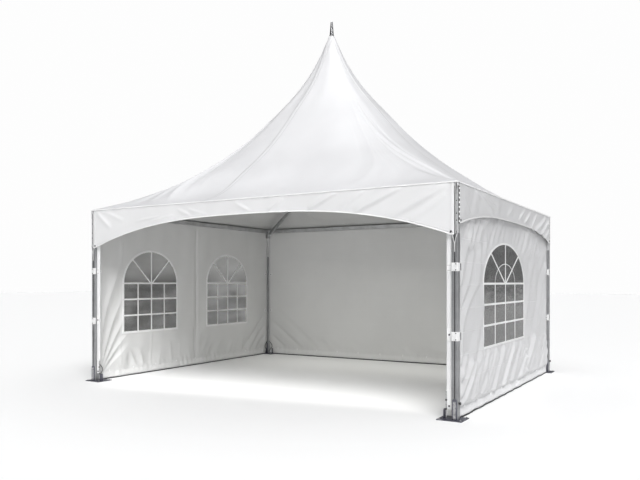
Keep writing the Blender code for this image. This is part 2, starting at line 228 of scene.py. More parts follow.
class Shader(Nodes):
    """Builds one node material with a Principled shader."""

    def __init__(self, name: str) -> None:
        """Starts a material.

        Args:
            name: Its name.
        """
        self.material = bpy.data.materials.new(name)
        self.material.use_nodes = True
        super().__init__(self.material.node_tree)
        self.principled = self.tree.nodes["Principled BSDF"]

    def set(self, **values: object) -> None:
        """Sets or links the Principled shader's sockets, named with underscores for spaces."""
        for key, value in values.items():
            self.feed(self.principled.inputs[key.replace("_", " ")], value)

    def place(self) -> Sock:
        """Place on the piece, in metres."""
        return self.add("ShaderNodeTexCoord", output="Object")

    def turned(self, turn: Euler, scale: Spot) -> Sock:
        """Place on the piece, turned and scaled."""
        inputs = {"Vector": self.place(), "Rotation": turn, "Scale": scale}
        return self.add("ShaderNodeMapping", {"vector_type": "TEXTURE"}, inputs)

    def noise(self, vector: Sock, scale: float, detail: float = 2.0, rough: float = 0.5) -> Sock:
        """Soft noise about 0.5."""
        inputs = {"Vector": vector, "Scale": scale, "Detail": detail, "Roughness": rough}
        return self.add("ShaderNodeTexNoise", None, inputs)

    def attribute(self, name: str) -> Sock:
        """A number kept on the mesh's points."""
        return self.add("ShaderNodeAttribute", {"attribute_name": name}, None, "Fac")

    def mixed(self, share: Sock, first: Sequence[float] | Sock, second: Sequence[float] | Sock) -> Sock:
        """Blends two colours or links to them, by a share that is 1 for the second."""
        pair = [c if isinstance(c, Sock) else (*c, 1.0) for c in (first, second)]
        return self.add("ShaderNodeMix", {"data_type": "RGBA"}, {0: share, 6: pair[0], 7: pair[1]}, 2)

    def finished(self, height: Sock, **values: object) -> Material:
        """Gives the material, with a bump from a height in metres and these shader values."""
        self.set(Normal=self.add("ShaderNodeBump", None, {"Height": height, "Distance": 1.0}), **values)
        return self.material


WEAVE_RATE = 2600.0  # radians per metre of cloth
STITCH_LENGTH = 0.009
CREASE_WIDTH = 0.008
CREASE_STARTS = (0.8556, 0.11)  # where level and upright creases start, as shares of their distance


@dataclass(frozen=True)
class Finish:
    """A finish of some pieces.

    Attributes:
        name: Name of the material.
        colour: Main colour.
    """

    name: str
    colour: Colour

    def toned(self, factor: float, most: float = 1.0) -> Colour:
        """The main colour made lighter or darker by a factor, with no part above a limit."""
        return tuple(min(c * factor, most) for c in self.colour)

    def make(self) -> Material:
        """Builds the material."""
        raise NotImplementedError


@dataclass(frozen=True)
class CoatedFabric(Finish):
    """White coated polyester, with a fine weave, faint unevenness, hems, and packing creases with a painted highlight
    along their ridges.

    Attributes:
        roughness: Middle roughness.
        crease: Distance between packing creases, and how strongly they show, as a bump and as a painted highlight.
        hem: Distance of the stitch line from the cloth's edge in metres, or 0 for none.
        band: How much lighter the doubled band along the ground is, as a factor; partly the doubled cloth and partly
            painted light on the rolled hem.
        seam: Half the distance between a seam's two weld lines in metres, or 0 for none.
        grain: Whether the weave and the small unevenness show.
    """

    roughness: float
    crease: tuple[float, float] = (0.0, 0.0)
    hem: float = 0.0
    band: float = 1.0
    seam: float = 0.0
    grain: bool = True

    def make(self) -> Material:
        """Builds the material.

        Returns:
            The material.
        """
        shader = Shader(self.name)
        place = shader.place()
        broad = shader.noise(place, 1.3, 3.0)
        small = shader.noise(place, 38.0, 3.0, 0.6)
        tone = shader.mixed(broad.fade(0.3, 0.7), self.toned(0.955), self.colour)
        height = (broad - 0.5) * 0.006
        x, y, z = (shader.axis(place, name) for name in "XYZ")
        if self.grain:
            weave = ((x + y) * WEAVE_RATE).sine() * (z * WEAVE_RATE).sine()
            height = height + weave * 0.00001 + (small - 0.5) * 0.0004
        if self.crease[1]:
            apart, strength = self.crease
            wander = (shader.noise(place, 2.2) - 0.5) * 0.03
            patch = shader.noise(place, 1.1, 1.0).fade(0.38, 0.56)
            level = abs(((z + wander * 0.4) / apart + CREASE_STARTS[0]).fraction() - 0.5) * apart
            upright = abs(((x + y + wander) / (apart * 2) + CREASE_STARTS[1]).fraction() - 0.5) * apart * 2
            level, upright = (c.fade(0.0, CREASE_WIDTH, top, 0.0) for c, top in ((level, 1.0), (upright, 0.8)))
            ridge = level.highest(upright) * patch
            height = height + ridge * 0.0014 * strength
            # Painted highlight: the crease ridges are made lighter, as where light catches them.
            tone = shader.mixed(ridge * 0.5 * strength, tone, self.toned(1.12, 0.95))
        if self.hem:
            edge = shader.attribute("hem")
            line = abs(edge - self.hem).fade(0.0006, 0.0022, 1.0, 0.0)
            stitch = (shader.attribute("run") * (math.tau / STITCH_LENGTH)).sine().fade(-0.5, 0.1)
            doubled = edge.fade(self.hem, self.hem + 0.003, 1.0, 0.0)
            height = height + doubled * 0.0012 - line * 0.001 + line * stitch * 0.0012
            tone = shader.mixed(line * (1.0 - stitch * 0.6) * 0.25, tone, self.toned(0.7))
        if self.band != 1.0:
            # The hem band is painted lighter: partly the doubled cloth, partly painted light that the rolled hem
            # catches.
            tone = shader.mixed(shader.attribute("band"), tone, self.toned(self.band, 0.92))
        if self.seam:
            gap = abs(shader.attribute("seam"))
            line = abs(gap - self.seam).fade(0.004, 0.012, 1.0, 0.0)
            raised = gap.fade(self.seam, self.seam + 0.006, 1.0, 0.0)
            height = height + raised * 0.003 - line * 0.001
            tone = shader.mixed(line * 0.55, tone, self.toned(0.70))
        cloud = small if self.grain else broad
        rough = cloud.fade(0.2, 0.8, self.roughness - 0.06, self.roughness + 0.08)
        return shader.finished(height, Base_Color=tone, Roughness=rough, IOR=1.5)


@dataclass(frozen=True)
class WeldedStrip(Finish):
    """Smooth white strip, welded over the cloth round a window and as its bars."""

    name: str = "welded_strip"
    colour: Colour = (0.90, 0.90, 0.90)

    def make(self) -> Material:
        """Builds the material.

        Returns:
            The material.
        """
        shader = Shader(self.name)
        place = shader.place()
        fine = shader.noise(place, 160.0, 2.0)
        broad = shader.noise(place, 6.0, 2.0)
        tone = shader.mixed(broad.fade(0.3, 0.7), self.toned(0.95), self.colour)
        height = (fine - 0.5) * 0.0004 + (broad - 0.5) * 0.002
        return shader.finished(height, Base_Color=tone, Roughness=fine.fade(0.2, 0.8, 0.34, 0.46))


@dataclass(frozen=True)
class ClearFilm(Finish):
    """Flexible grey-clear window film with shallow ripples and painted reflections.

    Attributes:
        colour: Colour of the film's haze, which painted reflections make darker and lighter.
        arch: How much lighter the haze is in the arch, as a painted reflection.
        alpha: How much the film hides at its middle.
    """

    name: str = "window_film"
    colour: Colour = (0.155, 0.155, 0.151)
    arch: float = 2.2
    alpha: float = 0.72

    def make(self) -> Material:
        """Builds the material.

        Returns:
            The material.
        """
        shader = Shader(self.name)
        ripple = shader.noise(shader.turned(Euler((0, 0, 0)), (2.6, 2.6, 0.9)), 7.0, 3.0)
        fine = shader.noise(shader.place(), 30.0, 2.0)
        # Painted reflections: the haze is darker in streaks along the ripples, and lighter in the arch.
        haze_and_reflections = shader.mixed(ripple.fade(0.35, 0.65), self.toned(0.6), self.colour)
        above = shader.axis(shader.place(), "Z").fade(1.22, 1.55)
        haze_and_reflections = shader.mixed(above, haze_and_reflections, self.toned(self.arch))
        hidden = ripple.fade(0.30, 0.70, self.alpha + 0.07, self.alpha - 0.07)
        height = (ripple - 0.5) * 0.005 + (fine - 0.5) * 0.0004
        return shader.finished(height, Base_Color=haze_and_reflections, Roughness=fine.fade(0.2, 0.8, 0.16, 0.26), Alpha=hidden)


@dataclass(frozen=True)
class MillAluminium(Finish):
    """Mill-finished aluminium with fine lines along the extrusion and dull patches.

    Attributes:
        turn: Turns the piece's length onto X.
        roughness: Middle roughness.
    """

    colour: Colour = (0.40, 0.405, 0.415)
    turn: Spot = (0.0, 0.0, 0.0)
    roughness: float = 0.33

    def make(self) -> Material:
        """Builds the material.

        Returns:
            The material.
        """
        shader = Shader(self.name)
        lines = shader.noise(shader.turned(Euler(self.turn), (1.0, 0.006, 0.006)), 3.0, 3.0, 0.65)
        dull = shader.noise(shader.place(), 5.0, 4.0, 0.6)
        spots = shader.noise(shader.place(), 45.0, 3.0).fade(0.66, 0.8)
        tone = shader.mixed(dull.fade(0.3, 0.75), self.colour, self.toned(0.78))
        tone = shader.mixed(spots * 0.4, tone, self.toned(0.5))
        rough = (lines - 0.5) * 0.18 + dull.fade(0.3, 0.8, 0.0, 0.14) + self.roughness
        height = (lines - 0.5) * 0.0004 + (dull - 0.5) * 0.0006
        return shader.finished(height, Base_Color=tone, Roughness=rough, Metallic=0.85)


@dataclass(frozen=True)
class CoatedSteel(Finish):
    """Dark coated steel, worn lighter in patches.

    Attributes:
        colour: Colour of the coating.
        worn: Colour where it is worn, which is also mixed into everything above the plate.
    """

    name: str = "coated_steel"
    colour: Colour = (0.085, 0.087, 0.115)
    worn: Colour = (0.30, 0.30, 0.33)

    def make(self) -> Material:
        """Builds the material.

        Returns:
            The material.
        """
        shader = Shader(self.name)
        place = shader.place()
        scuffs = shader.noise(place, 26.0, 5.0, 0.7)
        dust = shader.noise(place, 140.0, 2.0)
        tone = shader.mixed(scuffs.fade(0.52, 0.72), self.colour, self.worn)
        # From 8 mm up to 5 cm the colour moves up to 30 percent towards the worn colour, so the plate stays darkest.
        tone = shader.mixed(shader.axis(place, "Z").fade(0.008, 0.05, 0.0, 0.30), tone, self.worn)
        height = (scuffs - 0.5) * 0.0006 + (dust - 0.5) * 0.0003
        return shader.finished(height, Base_Color=tone, Roughness=scuffs.fade(0.3, 0.7, 0.34, 0.55), Metallic=0.65)


@dataclass(frozen=True)
class PlainMetal(Finish):
    """Zinc or brushed steel for fittings, with a fine cloudy finish.

    Attributes:
        roughness: Middle roughness.
    """

    roughness: float

    def make(self) -> Material:
        """Builds the material.

        Returns:
            The material.
        """
        shader = Shader(self.name)
        place = shader.place()
        cloud = shader.noise(place, 60.0, 3.0)
        tone = shader.mixed(cloud.fade(0.3, 0.7), self.toned(0.75), self.colour)
        rough = cloud.fade(0.2, 0.8, self.roughness - 0.08, self.roughness + 0.1)
        height = (cloud - 0.5) * 0.0003
        return shader.finished(height, Base_Color=tone, Roughness=rough, Metallic=1.0)


@dataclass(frozen=True)
class Webbing(Finish):
    """White woven webbing."""

    name: str = "woven_webbing"
    colour: Colour = (0.80, 0.80, 0.80)

    def make(self) -> Material:
        """Builds the material.

        Returns:
            The material.
        """
        shader = Shader(self.name)
        place = shader.place()
        x, y, z = (shader.axis(place, name) for name in "XYZ")
        weave = ((x + y) * 1400.0).sine() * (z * 1900.0).sine()
        soil = shader.noise(place, 22.0, 3.0)
        tone = shader.mixed(soil.fade(0.4, 0.75), self.colour, self.toned(0.86))
        height = weave * 0.0002 + (soil - 0.5) * 0.0008
        return shader.finished(height, Base_Color=tone, Roughness=soil.fade(0.2, 0.8, 0.5, 0.66))


@dataclass(frozen=True)
class Rubber(Finish):
    """Black rubber of the knobs, elastic loops and clips, and of the slot strips and ground beads, which are painted
    shadow in the slots and under the hems.
    """

    name: str = "black_rubber"
    colour: Colour = (0.018, 0.018, 0.019)

    def make(self) -> Material:
        """Builds the material.

        Returns:
            The material.
        """
        shader = Shader(self.name)
        grime = shader.noise(shader.place(), 120.0, 3.0)
        tone = shader.mixed(grime.fade(0.5, 0.8), self.colour, (0.06, 0.06, 0.06))
        height = (grime - 0.5) * 0.0004
        return shader.finished(height, Base_Color=tone, Roughness=grime.fade(0.2, 0.8, 0.42, 0.6))


DARK_ZINC = PlainMetal("dark_zinc", (0.16, 0.16, 0.17), 0.36)
ZINC = PlainMetal("bright_zinc", (0.55, 0.55, 0.56), 0.30)


class Fittings:
    """Profiles of small turned fittings, as radius and height."""

    EYELET = ((0.0, 0.0015), (0.0045, 0.0015), (0.005, 0.0035), (0.0105, 0.0035), (0.0125, 0.0015), (0.0125, 0.0))
    STUD = ((0.0095, 0.0), (0.0095, 0.003), (0.0075, 0.0055), (0.003, 0.0065), (0.0, 0.0066))
    BOLT = ((0.0085, 0.0), (0.0085, 0.006), (0.0075, 0.007), (0.0, 0.0072))
    KNOB = (
        *((0.006, 0.0), (0.006, 0.004), (0.012, 0.006), (0.0145, 0.012)),
        *((0.012, 0.018), (0.006, 0.0205), (0.0, 0.021)),
    )
    RIVET = ((0.0055, 0.0), (0.005, 0.002), (0.003, 0.0034), (0.0, 0.0038))
    WASHER = ((0.013, 0.0), (0.013, 0.002), (0.006, 0.002))


# Cloth shape


@dataclass(frozen=True)
class Fold:
    """A ridge in a sheet, sharper on one flank than on the other.

    Attributes:
        start: Where it starts, along and up the sheet.
        end: Where it ends.
        width: Width of its soft flank.
        height: How far it stands out. Below zero it is a valley.
        spread: How much wider it is at its end than at its start.
        bow: How far its middle lies to the right of the straight line.
        soft: Side of its soft flank, 1 for the right and -1 for the left.
    """

    start: Point
    end: Point
    width: float
    height: float
    spread: float = 0.0
    bow: float = 0.0
    soft: int = 1

    def mirrored(self) -> "Fold":
        """The same fold on the other side of the sheet's middle."""
        start, end = ((-h, z) for h, z in (self.start, self.end))
        return replace(self, start=start, end=end, bow=-self.bow, soft=-self.soft)

    def lift(self, h: Array, z: Array) -> Array:
        """Works out the ridge's height.

        Args:
            h: Places along the sheet.
            z: Places up the sheet.

        Returns:
            Height at each place.
        """
        dx = self.end[0] - self.start[0]
        dz = self.end[1] - self.start[1]
        run = math.hypot(dx, dz)
        t = ((h - self.start[0]) * dx + (z - self.start[1]) * dz) / run**2
        off = ((h - self.start[0]) * dz - (z - self.start[1]) * dx) / run
        inside = np.clip(t, 0.0, 1.0)
        off = off - self.bow * 4.0 * inside * (1.0 - inside)
        width = self.width * (1.0 + self.spread * inside)
        width = np.where(off * self.soft > 0, width, width * 0.4)
        fade = np.clip(4.0 * inside * (1.0 - inside), 0.0, 1.0) ** 0.6
        return self.height * fade * np.exp(-(abs(off / width) ** 1.5))


@dataclass(frozen=True)
class Ripple:
    """Soft uneven waves over a whole sheet.

    Attributes:
        depth: Usual height of the waves.
        pitch: Usual distance between them along the sheet.
        stretch: How many times longer they are up the sheet than along it.
        lean: How far they lean along the sheet for each metre up.
        seed: Picks the pattern.
    """

    WAVES: ClassVar[int] = 7
    USUAL_SUM: ClassVar[float] = 2.2  # of that many waves of unlike height

    depth: float
    pitch: float
    stretch: float = 4.0
    lean: float = 0.0
    seed: int = 1

    def lift(self, h: Array, z: Array) -> Array:
        """Works out the waves' height.

        Args:
            h: Places along the sheet.
            z: Places up the sheet.

        Returns:
            Height at each place.
        """
        pick = np.random.RandomState(self.seed)
        total = np.zeros_like(h)
        for _ in range(self.WAVES):
            rate = math.tau / (self.pitch * pick.uniform(0.6, 1.7))
            climb = rate / self.stretch * pick.uniform(-1.0, 1.0)
            phase = pick.uniform(0.0, math.tau)
            total += np.sin((h - self.lean * z) * rate + z * climb + phase) * pick.uniform(0.5, 1.0)
        return total * self.depth / self.USUAL_SUM


@dataclass(frozen=True)
class Pleats:
    """Slanting folds side by side over part of a sheet, broad on top and sharp between.

    Attributes:
        low: Lower corner of the part, at the smaller place along.
        high: Upper corner of it.
        pitch: Usual distance between two folds along the sheet.
        depth: Usual height of a fold.
        lean: How far they lean along the sheet for each metre up.
        ragged: How uneven their upper ends are, as a share of the part's height.
        edge: Width over which the part fades out along the sheet, and up it.
        skew: How late a fold has its ridge, as a range of powers. 1 is in its middle.
        wander: How much their widths and directions vary.
        seed: Picks the unevenness.
    """

    low: Point
    high: Point
    pitch: float
    depth: float
    lean: float
    ragged: float = 0.4
    edge: Point = (0.10, 0.08)
    skew: Point = (0.75, 1.35)
    wander: float = 1.0
    seed: int = 1

    def lift(self, h: Array, z: Array) -> Array:
        """Works out the folds' height.

        Args:
            h: Places along the sheet.
            z: Places up the sheet.

        Returns:
            Height at each place.
        """
        pick = np.random.RandomState(self.seed)
        turns = pick.uniform(0.0, math.tau, 4)
        phase = (h - self.lean * z) / self.pitch
        uneven = 0.30 * np.sin(phase * 1.45 + turns[0]) + 0.12 * np.sin(phase * 2.6 + turns[1])
        phase = phase + self.wander * uneven
        bent = 0.16 * np.sin(z * 6.0 + h * 1.3 + turns[2]) + 0.10 * np.sin(z * 11.0 - h * 2.1 + turns[3])
        phase = phase + self.wander * bent
        whole = np.floor(phase).astype(int)
        count = 64
        strength = pick.uniform(0.35, 1.25, count)[whole % count]
        skew = pick.uniform(*self.skew, count)[whole % count]
        reach = (self.high[1] - self.low[1]) * pick.uniform(0.0, self.ragged, count)[whole % count]
        profile = np.sin(math.pi * (phase - whole) ** skew) ** 0.8
        sides = ease(h, self.low[0], self.low[0] + self.edge[0])
        sides = sides * (1 - ease(h, self.high[0] - self.edge[0], self.high[0]))
        top = self.high[1] - reach
        ends = ease(z, self.low[1], self.low[1] + self.edge[1]) * (1 - ease(z, top - 2 * self.edge[1], top))
        return self.depth * strength * profile * sides * ends


@dataclass(frozen=True)
class CornerFan:
    """Folds that spread from a pulled corner of a sheet.

    Attributes:
        corner: Where they start.
        angles: Angle of the first and the last one from level, in degrees.
        count: How many.
        depth: Usual height of a fold.
        reach: Length of the first and of the last one.
        seed: Picks the unevenness.
    """

    corner: Point
    angles: Point
    count: int
    depth: float
    reach: Point
    seed: int = 1

    def lift(self, h: Array, z: Array) -> Array:
        """Works out the folds' height.

        Args:
            h: Places along the sheet.
            z: Places up the sheet.

        Returns:
            Height at each place.
        """
        pick = np.random.RandomState(self.seed)
        across, up = h - self.corner[0], z - self.corner[1]
        radius = np.hypot(across, up)
        angle = np.degrees(np.arctan2(up, across)) + 3.0 * np.sin(radius * 3.0 + self.seed)
        phase = (angle - self.angles[0]) / (self.angles[1] - self.angles[0]) * self.count
        whole = np.clip(np.floor(phase), 0, self.count - 1).astype(int)
        profile = np.sin(math.pi * np.clip(phase - whole, 0.0, 1.0)) ** 0.8
        share = np.arange(self.count) / max(self.count - 1, 1)
        length = (self.reach[0] + (self.reach[1] - self.reach[0]) * share) * pick.uniform(0.85, 1.15, self.count)
        strength = pick.uniform(0.7, 1.2, self.count)[whole]
        fade = np.clip(radius / 0.45, 0.0, 1.0) * (1 - ease(radius / length[whole], 0.45, 1.0))
        return self.depth * strength * profile * fade


Layer = Fold | Ripple | Pleats | CornerFan


def layered(*layers: Layer) -> Field:
    """Adds up folds, pleats and ripples, as a function of places along and up the sheet."""
    return lambda h, z: sum((layer.lift(h, z) for layer in layers), np.zeros_like(h))


def ease(value: Array, low: float, high: float) -> Array:
    """Eases from 0 at low to 1 at high."""
    t = np.clip((value - low) / (high - low), 0.0, 1.0)
    return t * t * (3.0 - 2.0 * t)


# Mesh building


def new_grid(columns: int, rows: int) -> Mesh:
    """Makes a flat grid over -1 to 1 along and 0 to 1 up.

    Args:
        columns: Number of cells along.
        rows: Number of cells up.

    Returns:
        The grid, in its X and Y.
    """
    bm = bmesh.new()
    bmesh.ops.create_grid(bm, x_segments=columns, y_segments=rows, size=1.0)
    for vert in bm.verts:
        vert.co.y = (vert.co.y + 1.0) / 2.0
    return bm


def read_points(bm: Mesh) -> Array:
    """Places of a mesh's points, one row each."""
    return np.array([vert.co[:] for vert in bm.verts])


def move_points(bm: Mesh, points: Array) -> None:
    """Moves a mesh's points to new places, one row each."""
    for vert, point in zip(bm.verts, points):
        vert.co = point


def keep_numbers(bm: Mesh, **values: Array) -> None:
    """Keeps numbers on a mesh's points for its material.

    Args:
        bm: The mesh.
        values: The points' numbers, by name.
    """
    for name, numbers in values.items():
        layer = bm.verts.layers.float.new(name)
        for vert, number in zip(bm.verts, numbers):
            vert[layer] = float(number)


def is_inside(point: Point, outline: Sequence[Point]) -> bool:
    """Tells whether a point lies inside a closed outline.

    Args:
        point: The point.
        outline: Corners of the outline.

    Returns:
        Whether it does.
    """
    inside = False
    x, y = point
    for (x0, y0), (x1, y1) in zip(outline, [*outline[1:], outline[0]]):
        if (y0 > y) != (y1 > y) and x < (x1 - x0) * (y - y0) / (y1 - y0) + x0:
            inside = not inside
    return inside


def carve(bm: Mesh, outline: Sequence[Point]) -> list[bmesh.types.BMFace]:
    """Cuts a closed outline into a flat mesh.

    Args:
        bm: Mesh that lies in its X and Y.
        outline: Corners of the outline.

    Returns:
        The faces inside the outline.
    """
    reach = 0.002
    for p, q in zip(outline, [*outline[1:], outline[0]]):
        low = (min(p[0], q[0]) - reach, min(p[1], q[1]) - reach)
        high = (max(p[0], q[0]) + reach, max(p[1], q[1]) + reach)
        near = []
        for face in bm.faces:
            xs = [vert.co.x for vert in face.verts]
            ys = [vert.co.y for vert in face.verts]
            if max(xs) > low[0] and min(xs) < high[0] and max(ys) > low[1] and min(ys) < high[1]:
                near.append(face)
        geom = {*near}
        for face in near:
            geom.update(face.verts, face.edges)
        across = Vector((q[1] - p[1], p[0] - q[0], 0.0))
        bmesh.ops.bisect_plane(bm, geom=list(geom), dist=0.0001, plane_co=(*p, 0.0), plane_no=across)
    return [face for face in bm.faces if is_inside(tuple(face.calc_center_median()[:2]), outline)]


def thin_band(across: Callable[[float, float], Point], columns: int) -> Mesh:
    """Makes a flat band whose place is given by two shares.

    Args:
        across: Gives a place from the share of the band's length and of its width.
        columns: Cells along the band.

    Returns:
        The band, in its X and Y.
    """
    bm = new_grid(columns, 2)
    for vert in bm.verts:
        x, y = across((vert.co.x + 1.0) / 2.0, vert.co.y)
        vert.co = (x, y, 0.0)
    return bm


def add_turned(bm: Mesh, profile: Sequence[Point], place: Matrix, steps: int = 12) -> None:
    """Spins a profile of radius and height, and adds it to a mesh.

    Args:
        bm: Mesh to add to.
        profile: Radius and height of each point, from the foot up.
        place: Where the shape's foot goes, with its axis along Z.
        steps: Faces round the axis.
    """
    points = [bm.verts.new((radius, 0.0, height)) for radius, height in profile]
    edges = [bm.edges.new(pair) for pair in zip(points, points[1:])]
    before = set(bm.verts) - set(points)
    bmesh.ops.spin(bm, geom=points + edges, cent=(0, 0, 0), axis=(0, 0, 1), angle=math.tau, steps=steps, use_merge=True)
    made = [vert for vert in bm.verts if vert not in before]
    bmesh.ops.remove_doubles(bm, verts=made, dist=0.00002)
    made = [vert for vert in bm.verts if vert not in before]
    bmesh.ops.transform(bm, matrix=place, verts=made)


def add_tube(bm: Mesh, path: Sequence[Sequence[float]], radius: float) -> None:
    """Sweeps a circle along a path, closes its ends, and adds it to a mesh.

    Args:
        bm: Mesh to add to.
        path: Centre line.
        radius: Radius of the tube.
    """
    points = [Vector(p) for p in path]
    sides = 8
    ahead = (points[1] - points[0]).normalized()
    turn = ahead.to_track_quat("Z", "Y")
    place = Matrix.Translation(points[0]) @ turn.to_matrix().to_4x4()
    ring = bmesh.ops.create_circle(bm, cap_ends=False, radius=radius, segments=sides, matrix=place)["verts"]
    first = list(ring)
    edges = list({edge for vert in ring for edge in vert.link_edges})
    for i in range(1, len(points)):
        after = (points[min(i + 1, len(points) - 1)] - points[i - 1]).normalized()
        swing = ahead.rotation_difference(after)
        grown = bmesh.ops.extrude_edge_only(bm, edges=edges)["geom"]
        ring = [item for item in grown if isinstance(item, bmesh.types.BMVert)]
        edges = [item for item in grown if isinstance(item, bmesh.types.BMEdge)]
        edges = [edge for edge in edges if all(vert in ring for vert in edge.verts)]
        about = Matrix.Translation(points[i]) @ swing.to_matrix().to_4x4() @ Matrix.Translation(-points[i - 1])
        bmesh.ops.transform(bm, matrix=about, verts=ring)
        ahead = after
    for end in (first, ring):
        bmesh.ops.contextual_create(bm, geom=end)


def stand(at: Sequence[float], direction: Sequence[float]) -> Matrix:
    """Matrix that puts a shape at a place with its Z axis along a direction."""
    turn = Vector(direction).to_track_quat("Z", "Y").to_matrix().to_4x4()
    return Matrix.Translation(Vector(at)) @ turn


def facing(side: Side, at: Sequence[float]) -> Matrix:
    """Matrix that puts a flat shape's X along a side, its Y up and its Z outwards."""
    turn = Matrix((side.along, (0.0, 0.0, 1.0), side.outward)).transposed().to_4x4()
    return Matrix.Translation(Vector(at)) @ turn


def rounded(width: float, low: float, high: float, foot: float, head: float, steps: int = 6) -> list[Point]:
    """Outline of an upright strip with rounded corners.

    Args:
        width: Its width, about zero.
        low: Its lower end.
        high: Its upper end.
        foot: Radius of the lower corners.
        head: Radius of the upper corners.
        steps: Pieces in each rounding.

    Returns:
        Corners in order.
    """
    half = width / 2
    corners = (
        (half - foot, low + foot, foot, -90),
        (half - head, high - head, head, 0),
        (head - half, high - head, head, 90),
        (foot - half, low + foot, foot, 180),
    )
    points = []
    for x, z, radius, start in corners:
        for step in range(steps + 1):
            angle = math.radians(start + 90 * step / steps)
            points.append((x + radius * math.cos(angle), z + radius * math.sin(angle)))
    return points


def add_plate(bm: Mesh, outline: Sequence[Point], thickness: float, place: Matrix) -> None:
    """Adds a flat plate to a mesh.

    Args:
        bm: Mesh to add to.
        outline: Its corners.
        thickness: Its thickness, towards its Z.
        place: Where its back goes.
    """
    points = [bm.verts.new((x, y, 0.0)) for x, y in outline]
    face = bmesh.ops.contextual_create(bm, geom=points)["faces"]
    grown = bmesh.ops.extrude_face_region(bm, geom=face)["geom"]
    raised = [item for item in grown if isinstance(item, bmesh.types.BMVert)]
    bmesh.ops.translate(bm, verts=raised, vec=(0.0, 0.0, thickness))
    bmesh.ops.transform(bm, matrix=place, verts=points + raised)


def bent_band(path: Sequence[Point], low: float, high: float, rows: int = 6) -> Mesh:
    """Makes an upright band that follows a path on the plan.

    Args:
        path: Plan of the band.
        low: Height of its lower edge.
        high: Height of its upper edge.
        rows: Cells up the band.

    Returns:
        The band.
    """
    bm = new_grid(len(path) - 1, rows)
    for vert in bm.verts:
        i = round((vert.co.x + 1.0) / 2.0 * (len(path) - 1))
        vert.co = (*path[i], low + (high - low) * vert.co.y)
    return bm


def join(bm: Mesh, other: Mesh) -> None:
    """Adds another mesh to a mesh.

    Args:
        bm: Mesh to add to.
        other: The other mesh, which is used up.
    """
    mesh = bpy.data.meshes.new("joined")
    other.to_mesh(mesh)
    other.free()
    bm.from_mesh(mesh)
    bpy.data.meshes.remove(mesh)


@cache
def material_of(finish: Finish) -> Material:
    """A finish's material, made once."""
    return finish.make()


def place_object(name: str, data: bpy.types.ID) -> Thing:
    """Puts a new object into the scene.

    Args:
        name: Its name.
        data: Its mesh, light or camera.

    Returns:
        The object.
    """
    thing = bpy.data.objects.new(name, data)
    bpy.context.scene.collection.objects.link(thing)
    return thing


def make_piece(
    name: str, bm: Mesh, finish: Finish, thickness: float = 0.0, bevel: float = 0.0,
    replaces: Sequence[str] = (), outward: Sequence[float] | None = None, offset: float = -1.0, merge: float = 0.00005,
    lining: Finish | None = None,
) -> Thing:
    """Finishes a mesh as a named piece.

    Args:
        name: Name of the piece.
        bm: Its mesh, which is used up.
        finish: Its finish.
        thickness: Thickness that is given to it, or 0.
        bevel: Width of the rounding on its edges, or 0.
        replaces: CAD nodes that it stands for.
        outward: Direction that the faces of an open sheet mostly point in.
        offset: Side of the mesh that the thickness goes to.
        merge: Distance below which points are merged.
        lining: Finish of the side that the thickness adds, if it's another one.

    Returns:
        The piece.
    """
    bmesh.ops.remove_doubles(bm, verts=bm.verts, dist=merge)
    bmesh.ops.recalc_face_normals(bm, faces=bm.faces)
    if outward is not None:
        total = sum((face.normal * face.calc_area() for face in bm.faces), Vector())
        if total.dot(Vector(outward)) < 0:
            bmesh.ops.reverse_faces(bm, faces=bm.faces)
    mesh = bpy.data.meshes.new(name)
    bm.to_mesh(mesh)
    bm.free()
    mesh.materials.append(material_of(finish))
    mesh.shade_smooth()
    mesh.set_sharp_from_angle(angle=SHARP_ANGLE)
    thing = place_object(name, mesh)
    if thickness:
        solid = thing.modifiers.new("thickness", "SOLIDIFY")
        solid.thickness = thickness
        solid.offset = offset
        if lining is not None:
            mesh.materials.append(material_of(lining))
            solid.material_offset = 1
    if bevel:
        rounding = thing.modifiers.new("rounding", "BEVEL")
        rounding.width = bevel
        rounding.segments = 2
        rounding.limit_method = "ANGLE"
        rounding.angle_limit = ROUNDED_ANGLE
    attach(thing, BODY)
    if replaces:
        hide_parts(*replaces)
    LOG.info("%s: %d faces", name, len(mesh.polygons))
    return thing


